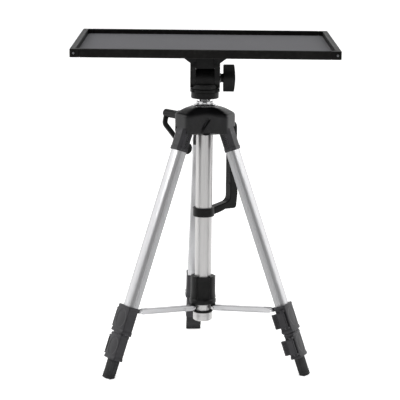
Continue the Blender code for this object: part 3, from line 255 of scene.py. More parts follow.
def crowned(width, depth, crown, corner, groove=0.0, steps=24):
    """Leg section: flat inner side, straight flanks with a V groove, and half an ellipse as outer side."""
    straight = depth / 2 - crown
    a = np.linspace(0, math.pi, steps + 1)
    crest = np.stack([straight + crown * np.sin(a), -width / 2 * np.cos(a)], 1)
    t = np.linspace(0, math.pi / 2, 6)
    low = np.stack([-depth / 2 + corner * (1 - np.cos(t)), -width / 2 + corner * (1 - np.sin(t))], 1)
    g = straight - 3 * groove
    notch = np.array([(g - groove, -width / 2), (g, -width / 2 + groove), (g + groove, -width / 2)])
    flank = np.concatenate([low, notch]) if groove else low
    return np.concatenate([flank, crest, (flank * (1, -1))[::-1]])


def bowed(left, right, inner, outer, bulge, radius, steps=24):
    """Section of a moulding: flat inner side and flanks; the front falls back as the square of the offset."""
    t = np.linspace(-1, 1, steps + 1)
    front = np.stack([outer - bulge * t ** 2, (left + right) / 2 + (right - left) / 2 * t], 1)
    radii = np.concatenate([[radius] * 2, np.full(steps - 1, 8 * MM), [radius] * 2])
    return rounded(np.concatenate([[(inner, left)], front, [(inner, right)]]), radii, 4)


def faceted(width, depth, front, bevel, radius):
    """Section of a moulding: flat inner side, flanks, two chamfers and a flat front, all softened."""
    x, y = depth / 2, width / 2
    half = [(-x, -y), (x - bevel, -y), (x, -front / 2)]
    return rounded(half + [(x, front / 2), (x - bevel, y), (-x, y)], radius, 5)


class Shell:
    """Gathers the grids of one piece."""

    def __init__(self):
        self.points = []
        self.faces = []
        self.count = 0

    def grid(self, rows, place=np.eye(4), through=False):
        """Adds rows of points that close round; through joins the last row to the first."""
        m, n = rows.shape[:2]
        index = np.arange(m * n).reshape(m, n) + self.count
        low = index if through else index[:-1]
        high = np.roll(index, -1, 0) if through else index[1:]
        quads = np.stack([low, np.roll(low, -1, 1), np.roll(high, -1, 1), high], 2)
        self.faces += quads.reshape(-1, 4).tolist()
        if not through:
            self.faces += [index[0][::-1].tolist(), index[-1].tolist()]
        self.points.append(rows.reshape(-1, 3) @ place[:3, :3].T + place[:3, 3])
        self.count += m * n
        return self

    def lathe(self, profile, sides, place):
        """Adds a closed (radius, height) profile turned round a frame's z axis."""
        return self.grid(turned(profile, sides), place, through=True)

    def mesh(self, name):
        """The gathered grids as one clean mesh."""
        made = bpy.data.meshes.new(name)
        made.from_pydata(np.concatenate(self.points).tolist(), [], self.faces)
        tidy(made)
        return made


def mesh_of(shape, name):
    """The mesh of a shell, or the mesh itself."""
    return shape.mesh(name) if isinstance(shape, Shell) else shape


def tidy(mesh):
    """Merges doubled points and turns all faces outwards."""
    bm = bmesh.new()
    bm.from_mesh(mesh)
    bmesh.ops.remove_doubles(bm, verts=bm.verts, dist=MERGE_DISTANCE)
    bmesh.ops.dissolve_degenerate(bm, edges=bm.edges, dist=MERGE_DISTANCE)
    bmesh.ops.recalc_face_normals(bm, faces=bm.faces)
    bm.to_mesh(mesh)
    bm.free()


def link(name, data):
    """A new object in the scene."""
    obj = bpy.data.objects.new(name, data)
    bpy.context.scene.collection.objects.link(obj)
    return obj


def settle(name, shape, finish, body, *stands_for, sharp=38):
    """Makes the object of a piece, gives it its finish and seats it on its body."""
    mesh = mesh_of(shape, name)
    obj = link(name, mesh)
    mesh.materials.clear()
    mesh.materials.append(material(finish))
    mesh.shade_smooth()
    mesh.set_sharp_from_angle(angle=math.radians(sharp))
    even = obj.modifiers.new("even_normals", "WEIGHTED_NORMAL")
    even.keep_sharp = True
    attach(obj, body)
    if stands_for:
        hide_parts(*stands_for)
    return obj


def carve(body, cutters):
    """The body's mesh after exact Booleans that take away the cutters, which are then thrown away."""
    target = link("blank", mesh_of(body, "blank"))
    spent = [target]
    for cutter in cutters:
        tool = link("tool", cutter.mesh("tool"))
        cut = target.modifiers.new("cut", "BOOLEAN")
        cut.operation = "DIFFERENCE"
        cut.solver = "EXACT"
        cut.object = tool
        spent.append(tool)
    bpy.context.view_layer.update()
    result = bpy.data.meshes.new_from_object(target.evaluated_get(bpy.context.evaluated_depsgraph_get()))
    for obj in spent:
        bpy.data.objects.remove(obj)
    return result


def eased_copy(node, width=0.0, segments=2):
    """A merged copy of a CAD node's mesh, with its sharp edges bevelled by a width."""
    mesh = frame["nodes"][node].data.copy()
    bm = bmesh.new()
    bm.from_mesh(mesh)
    bmesh.ops.remove_doubles(bm, verts=bm.verts, dist=0.01 * MM)
    bmesh.ops.dissolve_limit(bm, angle_limit=math.radians(1), verts=bm.verts, edges=bm.edges)
    if width:
        sharp = [e for e in bm.edges if len(e.link_faces) == 2 and e.calc_face_angle() > math.radians(30)]
        bmesh.ops.bevel(bm, geom=sharp, offset=width, segments=segments, profile=0.5, affect="EDGES",
                        clamp_overlap=True)
    bmesh.ops.recalc_face_normals(bm, faces=bm.faces)
    bm.to_mesh(mesh)
    bm.free()
    return mesh


class Wire:
    """A socket's value in a node tree; arithmetic on it adds Math nodes."""

    def __init__(self, tree, socket):
        self.tree = tree
        self.socket = socket

    def maths(self, operation, first, second=0.0):
        """The value of a new Math node."""
        return self.tree.node("ShaderNodeMath", {"operation": operation}, {0: first, 1: second})[0]

    def __add__(self, other):
        return self.maths("ADD", self, other)

    def __radd__(self, other):
        return self.maths("ADD", other, self)

    def __mul__(self, other):
        return self.maths("MULTIPLY", self, other)

    def __rmul__(self, other):
        return self.maths("MULTIPLY", other, self)


class Recipe:
    """Node tree of one finish."""

    def __init__(self, name):
        self.material = bpy.data.materials.new(name)
        self.material.use_nodes = True
        self.nodes = self.material.node_tree.nodes
        self.links = self.material.node_tree.links
        self.shader = self.nodes["Principled BSDF"]

    def node(self, kind, settings=None, sockets=None):
        """Adds a node: its settings first, then the values or links of its sockets; gives its outputs."""
        made = self.nodes.new(kind)
        for key, value in (settings or {}).items():
            setattr(made, key, value)
        for key, value in (sockets or {}).items():
            self.feed(made.inputs[key], value)
        return [Wire(self, out) for out in made.outputs]

    def feed(self, socket, value):
        """Links a wire to a socket, or sets the socket's own value."""
        if isinstance(value, Wire):
            self.links.new(value.socket, socket)
        elif socket.type == "RGBA" and len(value) == 3:
            socket.default_value = (*value, 1.0)
        else:
            socket.default_value = value

    def set(self, **sockets):
        """Feeds the shader's sockets, named with underscores for spaces."""
        for key, value in sockets.items():
            self.feed(self.shader.inputs[key.replace("_", " ")], value)

    def place(self, scale=(1, 1, 1)):
        """Object coordinates, scaled."""
        where = self.node("ShaderNodeTexCoord")[3]
        return self.node("ShaderNodeMapping", None, {"Vector": where, "Scale": scale})[0]

    def noise(self, where, scale, detail=3.0, roughness=0.55):
        """Noise from 0 to 1 at a place."""
        sockets = {"Vector": where, "Scale": scale, "Detail": detail, "Roughness": roughness}
        return self.node("ShaderNodeTexNoise", None, sockets)[0]

    def blend(self, share, first, second):
        """Colour between two colours."""
        return self.node("ShaderNodeMix", {"data_type": "RGBA"}, {0: share, 6: first, 7: second})[2]

    def ramp(self, value, low, high):
        """Value carried from low..high to 0..1, smoothly."""
        return self.node("ShaderNodeMapRange", {"interpolation_type": "SMOOTHSTEP"},
                         {0: value, 1: low, 2: high})[0]

    def bump(self, height, strength, distance):
        """Normal of a height field."""
        sockets = {"Strength": strength, "Distance": distance, "Height": height}
        return self.node("ShaderNodeBump", None, sockets)[0]

    def edges(self):
        """Mask of worn edges: how far the surface points outward there."""
        pointiness = self.node("ShaderNodeNewGeometry")[7]
        return self.ramp(pointiness, 0.52, 0.62)


FINISHES = {}
MADE = {}


def finish_in():
    """Enters a recipe among the finishes, under its function's name."""
    def enter(build):
        FINISHES[build.__name__] = build
        return build
    return enter


def material(name):
    """The material of a finish, made the first time it is asked for."""
    if name not in MADE:
        MADE[name] = FINISHES[name]().material
    return MADE[name]


def looks():
    """The colours set in the panel."""
    return bpy.context.scene.stand_looks


def moulded(name, colour, light, roughness, grain, scale, gloss=0.22):
    """Moulded plastic: fine pebble grain, cloudy gloss and slightly paler worn edges."""
    mix = Recipe(name)
    where = mix.place()
    cloud = mix.noise(where, 45.0, 4.0)
    pebble = mix.noise(where, scale, 2.0, 0.6)
    scuff = mix.noise(where, 160.0, 6.0, 0.7)
    body = mix.blend(mix.ramp(cloud, 0.35, 0.75), tuple(colour), light)
    worn = mix.edges() * mix.ramp(scuff, 0.45, 0.7)
    mix.set(Base_Color=mix.blend(worn * 0.5, body, tuple(min(1.0, c * 3.5 + 0.02) for c in light)),
            Roughness=(cloud * 0.16) + (roughness - 0.08) + (scuff * 0.05), Specular_IOR_Level=gloss,
            Normal=mix.bump(pebble, grain, 0.12 * MM))
    return mix


@finish_in()
def tray_black():
    return moulded("tray_black", looks().tray_colour, (0.007, 0.0065, 0.006), 0.46, 0.25, 2600.0, 0.10)


@finish_in()
def head_black():
    return moulded("head_black", looks().head_colour, (0.007, 0.007, 0.007), 0.38, 0.30, 2200.0, 0.16)


@finish_in()
def shoulder_black():
    return moulded("shoulder_black", looks().shoulder_colour, (0.010, 0.010, 0.011), 0.28, 0.30, 1800.0, 0.28)


@finish_in()
def lock_grey():
    return moulded("lock_grey", looks().lock_colour, (0.030, 0.029, 0.033), 0.40, 0.35, 1800.0, 0.34)


@finish_in()
def foot_rubber():
    return moulded("foot_rubber", (0.020, 0.020, 0.021), (0.034, 0.034, 0.035), 0.74, 0.6, 1300.0)


@finish_in()
def grey_mat():
    """Anti-slip sheet: fine speckle, faint crossed ribs and a dull, dusty sheen."""
    mix = Recipe("grey_mat")
    where = mix.place()
    speck = mix.noise(where, 1500.0, 2.0, 0.7)
    cloud = mix.noise(where, 9.0, 4.0)
    axes = mix.node("ShaderNodeSeparateXYZ", None, {0: where})
    ribs = [mix.node("ShaderNodeMath", {"operation": "SINE"}, {0: axis * 2600.0})[0] for axis in axes[:2]]
    weave = (ribs[0] * ribs[1]) * 0.5 + 0.5
    dark = tuple(looks().mat_colour)
    pale = tuple(c * 1.35 for c in dark)
    shade = mix.blend(mix.ramp(speck, 0.4, 0.7) * 0.6 + mix.ramp(cloud, 0.4, 0.7) * 0.25, dark, pale)
    mix.set(Base_Color=shade, Roughness=0.72 + cloud * 0.15, Specular_IOR_Level=0.3,
            Normal=mix.bump(weave + speck * 0.6, 0.30, 0.1 * MM), Sheen_Weight=0.06, Sheen_Roughness=0.5)
    return mix


@finish_in()
def mat_edge():
    """Cut edge of the anti-slip sheet, paler than its face."""
    mix = Recipe("mat_edge")
    speck = mix.noise(mix.place(), 900.0, 3.0)
    shade = mix.blend(speck, (0.10, 0.10, 0.105), (0.15, 0.15, 0.155))
    mix.set(Base_Color=shade, Roughness=0.7 + speck * 0.1)
    return mix


def brushed(name, colour, roughness, stretch):
    """Anodised metal: hair lines drawn out along the part, a cloudy film and a few soft smudges."""
    mix = Recipe(name)
    lines = mix.noise(mix.place(stretch), 900.0, 4.0, 0.7)
    where = mix.place()
    cloud = mix.noise(where, 24.0, 4.0)
    smudge = mix.ramp(mix.noise(where, 70.0, 5.0, 0.65), 0.52, 0.75)
    darker = tuple(c * 0.84 for c in colour)
    body = mix.blend(mix.ramp(lines, 0.3, 0.75) * 0.5 + smudge * 0.12, tuple(colour), darker)
    mix.set(Base_Color=body, Metallic=1.0, Normal=mix.bump(lines, 0.10, 0.05 * MM),
            Roughness=(lines * 0.10) + (smudge * 0.05) + (cloud * 0.06) + roughness)
    return mix


@finish_in()
def tube_silver():
    return brushed("tube_silver", looks().tube_colour, 0.24, (1.0, 1.0, 0.012))


@finish_in()
def shaded_flank_silver():
    """The flat flanks of a leg tube: rougher than its crowned face, with painted shade darkening their
    colour.
    """
    # Painted shade: the flanks' colour is darkened to 0.74 of the face's to stand for less light on them.
    painted_shade_colour = [c * 0.74 for c in looks().tube_colour]
    return brushed("shaded_flank_silver", painted_shade_colour, 0.36, (1.0, 1.0, 0.012))


@finish_in()
def column_silver():
    """The column's metal, a little darker and warmer than the legs'."""
    warm = [c * share for c, share in zip(looks().tube_colour, (0.84, 0.83, 0.81))]
    return brushed("column_silver", warm, 0.27, (1.0, 1.0, 0.02))


@finish_in()
def brace_silver():
    return brushed("brace_silver", looks().tube_colour, 0.34, (0.05, 0.05, 1.0))


@finish_in()
def bright_steel():
    return brushed("bright_steel", (0.66, 0.66, 0.67), 0.16, (1.0, 1.0, 0.3))


@finish_in()
def dark_steel():
    return brushed("dark_steel", (0.20, 0.20, 0.21), 0.30, (1.0, 1.0, 1.0))


def length_setting(name, description, default):
    """A length that the panel shows, given in millimetres."""
    return bpy.props.FloatProperty(name=name, description=description, default=default * MM, unit="LENGTH")


def colour_setting(name, description, default):
    """A colour that the panel shows."""
    return bpy.props.FloatVectorProperty(name=name, description=description, default=default, subtype="COLOR")


class StandSizes(bpy.types.PropertyGroup):
    rim_edge: length_setting("Rim edge", "Rounding of the tray's rim", 0.8)
    mould_edge: length_setting("Moulding edge", "Rounding of the yoke's edges", 0.7)
    handle_edge: length_setting("Handle edge", "Rounding of the carrying handle", 1.7)
    groove: length_setting("Tube groove", "Depth of the line along a leg tube", 0.45)
    thread: length_setting("Thread pitch", "Pitch of the head's stud", 1.27)


class StandLooks(bpy.types.PropertyGroup):
    tray_colour: colour_setting("Tray", "Colour of the tray's rim", (0.0040, 0.0037, 0.0035))
    mat_colour: colour_setting("Mat", "Colour of the anti-slip mat", (0.085, 0.085, 0.094))
    head_colour: colour_setting("Head", "Colour of the head and knob", (0.0038, 0.0038, 0.0038))
    shoulder_colour: colour_setting("Shoulder", "Colour of the shoulder", (0.0052, 0.0052, 0.0058))
    lock_colour: colour_setting("Locks", "Colour of leg tops and locks", (0.019, 0.018, 0.021))
    tube_colour: colour_setting("Tubes", "Colour of the anodised tubes", (0.60, 0.60, 0.61))


class StandPiece:
    """What the operators share: they stay undoable and report success."""
    bl_options = {"REGISTER", "UNDO"}

    def execute(self, context):
        self.build(context.scene.stand_sizes)
        return {"FINISHED"}


class STAND_OT_rim(StandPiece, bpy.types.Operator):
    """Builds the tray's rails and corner pieces"""
    bl_idname = "stand.rim"
    bl_label = "Tray rim"

    def build(self, sizes):
        board = span("tray_board")
        ledge = board[1][2] + 0.3 * MM
        for side in RAILS:
            self.rail(side, board, ledge, sizes.rim_edge)
        for name in CORNERS:
            self.corner(name, board, ledge, sizes.rim_edge)

    def rail(self, side, board, ledge, edge):
        """Rail with an (inward, up) section: a rebate under the board and a shallow strip along its top."""
        low, high = span("tray_rail_" + side)
        longways = 0 if side in ("front", "back") else 1
        across = 1 - longways
        far = int(side in ("back", "right"))
        wide = high[across] - low[across]
        tall = high[2] - low[2]
        lip = abs(board[far][across] - (low, high)[far][across]) - 0.3 * MM
        rise = ledge - low[2]
        strip = tall - 0.25 * MM
        section = rounded([(0, 0), (lip, 0), (lip, rise), (wide, rise), (wide, tall), (0.62 * wide, tall),
                           (0.62 * wide, strip), (0.38 * wide, strip), (0.38 * wide, tall), (0, tall)],
                          [edge, 0.2 * MM, 0.2 * MM, 0.3 * MM, edge] + [0.1 * MM] * 4 + [edge], 4)
        inward = np.zeros(3)
        inward[across] = -1 if far else 1
        start = low.copy()
        start[across] = (low, high)[far][across]
        run = np.cross(inward, (0, 0, 1))
        start[longways] = low[longways] if run[longways] > 0 else high[longways]
        rows = prism(section, 0, high[longways] - low[longways], 0.15 * MM, 2)
        settle("rim_" + side, Shell().grid(rows, along(inward, (0, 0, 1), start)), "tray_black", "tray",
               "tray_rail_" + side)

    def corner(self, name, board, ledge, edge):
        """Corner piece with an L-shaped plan, less the board's rebate and a screw seat."""
        low, high = span("tray_corner_" + name)
        sx = 1 if "right" in name else -1
        sy = 1 if "back" in name else -1
        width, depth = high[:2] - low[:2]
        rail = span("tray_rail_" + ("right" if sx > 0 else "left"))
        arm = rail[1][0] - rail[0][0]
        outer = np.array([high[0] if sx > 0 else low[0], high[1] if sy > 0 else low[1]])
        shape = [(0, 0), (width, 0), (width, arm), (arm, arm), (arm, depth), (0, depth)]
        outline = outer + np.array(shape) * (-sx, -sy)
        radii = mm(2.4, 0.95, 0.95, 0.8, 0.95, 0.95)
        if sx * sy < 0:
            outline, radii = outline[::-1], radii[::-1]
        body = Shell().grid(prism(rounded(outline, radii), low[2], high[2], edge))
        near, far = board[0] - 0.3 * MM, board[1] + 0.3 * MM
        rebate = prism(rect(near[0], near[1], far[0], far[1], 0.4 * MM), low[2] - MM, ledge, 0.1 * MM, 2)
        settle("corner_" + name, carve(body, [self.seat(name), Shell().grid(rebate)]), "tray_black", "tray",
               "tray_corner_" + name)

    def seat(self, name):
        """Screw seat in a corner: a countersunk hole inside a shallow round groove."""
        place = corner_screw(name)
        hole = turned(mm((2.2, -0.5), (2.2, 1.25), (1.2, 1.35), (1.2, 6)), 40)
        return Shell().grid(hole, place).lathe(ring(*mm(3.3, 3.9, -0.4, 0.35, 0.08)), 56, place)


def corner_screw(name):
    """Frame of a corner piece's screw: z runs into the piece from its front or back face."""
    low, high = span("tray_corner_" + name)
    inset = 5.5 * MM
    x = high[0] - inset if "right" in name else low[0] + inset
    into, y = (-1, high[1]) if "back" in name else (1, low[1])
    return along((into, 0, 0), (0, 0, -1), (x, y, (low[2] + high[2]) / 2))


class STAND_OT_mat(StandPiece, bpy.types.Operator):
    """Builds the anti-slip mat with its pale cut edge"""
    bl_idname = "stand.mat"
    bl_label = "Anti-slip mat"

    def build(self, sizes):
        low, high = span("tray_mat")
        outline = rect(low[0], low[1], high[0], high[1], 3.8 * MM, 8)
        foot = mm((0, -0.2), (0.4, 0)) + (low[2], 0)
        brim = mm((-0.85, 0), (-0.55, -0.3), (-0.55, -2.4), (-0.2, -2.7), (0, -3.0), (0, -3.6)) + (high[2], 0)
        strip = mm((-0.53, -0.4), (-0.37, -0.6), (-0.37, -2.1), (-0.53, -2.3)) + (high[2], 0)
        sheet = loft(outline, np.concatenate([foot, brim]))
        settle("mat_sheet", Shell().grid(sheet), "grey_mat", "tray", "tray_mat")
        settle("mat_border", Shell().grid(loft(outline, strip), through=True), "mat_edge", "tray")


def cross_head(radius, height):
    """Pan head of a screw: a domed disc with a cross-shaped recess."""
    a = np.linspace(0, math.pi / 2, 7)
    dome = np.stack([radius * (0.55 + 0.45 * np.cos(a)), -0.35 * height - 0.65 * height * np.sin(a)], 1)
    profile = np.concatenate([[(radius * 0.98, 0.0)], dome])
    arm, half = 0.60 * radius, 0.13 * radius
    quarter = np.array([(arm, -half), (arm, half), (half, half)])
    swapped = quarter[:, ::-1]
    star = rounded(np.concatenate([quarter, swapped * (-1, 1), -quarter, swapped * (1, -1)]), half * 0.4, 3)
    cross = Shell().grid(prism(star, -2 * height, -0.45 * height, 0.02 * MM, 1))
    return carve(Shell().grid(turned(profile[::-1], 40)), [cross])


class STAND_OT_screws(StandPiece, bpy.types.Operator):
    """Builds the screws of the corner pieces and of the yoke's flange"""
    bl_idname = "stand.screws"
    bl_label = "Screws"

    def build(self, sizes):
        for name in CORNERS:
            place = corner_screw(name)
            place[:3, 3] += place[:3, 2] * 1.15 * MM
            self.screw("corner_screw_" + name, place, 1.8 * MM, 0.8 * MM, "dark_steel")
        low, high = span("tray_bracket")
        inset = mm(5.5, 8.0, 4.0)
        near, far = low + inset, high - inset
        for i in range(4):
            spot = ((near, far)[i % 2][0], (near, far)[i // 2][1], far[2])
            self.screw("flange_screw_%d" % (i + 1), upright(0.0, spot), 2.6 * MM, 1.4 * MM, "bright_steel")

    def screw(self, name, place, radius, height, finish):
        mesh = cross_head(radius, height)
        mesh.transform(Matrix(place.tolist()))
        tidy(mesh)
        settle(name, mesh, finish, "tray", sharp=50)


class STAND_OT_yoke(StandPiece, bpy.types.Operator):
    """Builds the yoke under the tray, the pan base and the tilt bolt"""
    bl_idname = "stand.yoke"
    bl_label = "Yoke and pan base"

    def build(self, sizes):
        bracket = eased_copy("tray_bracket", sizes.mould_edge, 3)
        settle("yoke", carve(bracket, [self.niche(-1), self.niche(1)]), "head_black", "tray", "tray_bracket")
        settle("pan_barrel", eased_copy("head_base", 0.5 * MM, 3), "head_black", "head", "head_base")
        settle("tilt_screw", eased_copy("tilt_bolt", 0.25 * MM), "bright_steel", "tray", "tilt_bolt")
        low, high = span("head_base", COLUMN)
        disc_top = low[2] + 15.5 * MM
        self.pan_skirt(high[0] + 0.6 * MM, low[2])
        self.saddle(disc_top)
        self.heels(disc_top)
        self.washers()

    def niche(self, sign):
        """Recess in the bridge's front or back, 2.2 mm deep between the cheeks, under a sloping hood."""
        side = rounded(mm((12.6, 12), (40, 12), (40, 44), (12.6, 30)) + (0, TILT_AXIS[2]), 0.6 * MM, 4)
        place = matrix((0, sign, 0), (0, 0, 1), (sign, 0, 0), TILT_AXIS * (1, 1, 0))
        return Shell().grid(prism(side, -13.9 * MM, 13.9 * MM, 0.3 * MM, 2), place)

    def saddle(self, foot):
        """Lip round the top of the pan disc: its rim follows the circle that the cheeks' ends sweep."""
        a = angles(240)
        outer, inner, ease = mm(20.0, 17.6, 0.5)
        cheek_end, half_gap = mm(15.2, 13.9)
        rim = foot + 6.6 * MM
        clear = TILT_AXIS[2] - np.sqrt(np.clip(cheek_end ** 2 - (inner * np.sin(a)) ** 2, 0, None))
        top = np.where(np.abs(inner * np.cos(a)) < half_gap, rim, np.minimum(clear, rim))
        kernel = np.hanning(19) / np.hanning(19).sum()
        top = np.minimum(top, np.convolve(np.concatenate([top[-9:], top, top[:9]]), kernel, "valid"))
        top = np.maximum(top, foot + 0.2 * MM)
        low = np.full_like(top, foot)
        reach = np.array([inner + ease, outer - ease, outer, outer, outer - ease, inner + ease, inner, inner])
        rise = np.stack([low, low, low + 0.1 * MM, top - 0.1 * MM, top, top, top - 0.1 * MM, low + 0.1 * MM])
        rows = polar(reach[:, None], a, rise)
        settle("saddle", Shell().grid(rows, COLUMN, through=True), "head_black", "head")

    def heels(self, disc_top):
        """Stops on the pan disc that carry the cheeks' line on down to its skirt."""
        plan = rounded(mm((14.0, -12.5), (19.0, -12.5), (21.8, -7), (21.8, 7), (19.0, 12.5), (14.0, 12.5)),
                       1.5 * MM, 5)
        rows = prism(plan, disc_top - 4.7 * MM, disc_top, 0.5 * MM)
        shell = Shell().grid(rows, upright(math.pi)).grid(rows, COLUMN)
        settle("cheek_stops", shell, "head_black", "head")

    def washers(self):
        """Friction washers between the barrel and the cheeks."""
        shell = Shell()
        for middle in (-13.75, 13.75):
            shell.lathe(ring(*mm(3.4, 12.8, middle - 0.12, middle + 0.12, 0.05)), 72, TILT_PIN)
        settle("tilt_washers", shell, "head_black", "head")

    def pan_skirt(self, r, base):
        """Smooth band over the pan disc: a turned sleeve with fine upright flutes round its rim."""
        profile = mm((-2.1, 1.0), (-0.7, 1.0), (0, 2.0), (0, 10.2), (-2.1, 10.2)) + (r, base)
        rows = turned(rounded(profile, 0.4 * MM, 4), 288)
        flute = 1 - 0.0075 * (np.cos(72 * angles(288)) > 0)
        band = (rows[..., 2] > base + 4.4 * MM) & (rows[..., 2] < base + 9.6 * MM)
        rows[..., :2] *= np.where(band, flute[None], 1.0)[..., None]
        settle("pan_skirt", Shell().grid(rows, COLUMN, through=True), "head_black", "head")


class STAND_OT_tilt_knob(StandPiece, bpy.types.Operator):
    """Builds the T-shaped tilt knob"""
    bl_idname = "stand.tilt_knob"
    bl_label = "Tilt knob"

    def build(self, sizes):
        low, high = span("tilt_knob", TILT)
        tall = high[2] + 0.5 * MM
        thick = high[1]
        start, bulge, shank, bore = mm(26.7, 1.7, 7.2, 1.0)
        z = np.linspace(-1, 1, 41)
        outer = high[0] + 0.8 * MM - bulge * (1 - np.cos(z * math.pi / 2))
        waist = thick * (0.60 + 0.40 * np.cos(z * math.pi / 2) ** 4)
        shrink = 0.95 + 0.05 * np.sqrt(np.clip(1 - np.abs(z) ** 14, 0, 1))
        square = rect(-1, -1, 1, 1, 0.24, 5)
        middle = (start + outer) / 2
        half = (outer - start) / 2
        flat = np.stack([middle[:, None] + square[None, :, 0] * (half * shrink)[:, None],
                         square[None, :, 1] * (waist * shrink)[:, None]], 2)
        shell = Shell().grid(lifted(flat, z * tall), TILT)
        root, end = low[0], start + 1.5 * MM
        profile = rounded([(bore, root), (shank - 0.6 * MM, root), (shank, root + 0.6 * MM),
                           (shank * 0.86, (root + start) / 2), (shank, end), (bore, end)], 0.25 * MM, 3)
        shell.lathe(profile, 64, TILT_PIN)
        settle("knob", shell, "head_black", "tilt_knob", "tilt_knob")


class STAND_OT_column(StandPiece, bpy.types.Operator):
    """Builds the column tube, the geared rod, the threaded stud, the jam ring, dome ring and end cap"""
    bl_idname = "stand.column"
    bl_label = "Column"

    def build(self, sizes):
        low, high = span("column_tube", COLUMN)
        tube = ring(high[0] - 1.1 * MM, high[0], low[2], high[2], 0.2 * MM)
        settle("centre_tube", Shell().lathe(tube, 128, COLUMN), "column_silver", "base", "column_tube")
        settle("geared_rod", eased_copy("column_rod"), "tube_silver", "column", "column_rod", sharp=30)
        self.stud(sizes.thread)
        self.jam()
        low, high = span("dome_ring", COLUMN)
        r, floor, crest = high[0], low[2], high[2]
        bright = rounded([(r - 6.6 * MM, floor), (r, floor), (r, floor + 0.5 * MM), (r - 2 * MM, crest),
                          (r - 6.6 * MM, crest)], 0.25 * MM, 4)
        settle("shoulder_ring", Shell().lathe(bright, 128, COLUMN), "bright_steel", "base", "dome_ring")
        low, high = span("column_end_cap", COLUMN)
        r, floor, crest = high[0], low[2], high[2]
        wall, bore = r - 1.6 * MM, 0.4 * MM
        skin = mm((-2.2, 0), (0, 1.6), (0, 8.6), (-0.35, 9.0), (0, 9.4)) + (r, floor)
        inside = [(r, crest), (wall, crest), (wall, floor + 5 * MM), (bore, floor + 5 * MM)]
        cap = rounded(np.concatenate([[(bore, floor)], skin, inside]), 0.15 * MM, 3)
        settle("tube_cap", Shell().lathe(cap, 128, COLUMN), "column_silver", "base", "column_end_cap")

    def stud(self, pitch):
        """Threaded stud: the radius falls by half the depth times 1 + cos(2 pi height / pitch - angle)."""
        low, high = span("column_stud", COLUMN)
        z = np.linspace(low[2], high[2], 260)[:, None]
        a = angles(72)
        depth, taper = mm(0.45, 0.8)
        wave = 0.5 + 0.5 * np.cos(2 * math.pi * z / pitch - a[None])
        fade = np.clip((high[2] - z) / MM, 0, 1)
        r = high[0] - depth * wave - taper * (1 - fade)
        settle("threaded_stud", Shell().grid(polar(r, a, z), COLUMN), "bright_steel", "column", "column_stud",
               sharp=60)

    def jam(self):
        """Jam ring with six ears: reach and height both swing six times round, the reach by a quarter."""
        low, high = span("jam_ring", COLUMN)
        r = high[0]
        rows = turned(ring(5.3 * MM, r, low[2], high[2], 0.5 * MM, 4), 288)
        ear = np.clip(0.5 + 1.6 * np.cos(6 * angles(288)), 0, 1)
        rim = np.clip((np.hypot(rows[..., 0], rows[..., 1]) - 0.6 * r) / (0.4 * r), 0, 1)
        rows[..., :2] *= (1 - 0.24 * rim * (1 - ear))[..., None]
        rows[..., 2] = low[2] + (rows[..., 2] - low[2]) * (0.52 + 0.48 * ear * rim)
        settle("knurled_ring", Shell().grid(rows, COLUMN, through=True), "bright_steel", "column", "jam_ring",
               sharp=50)


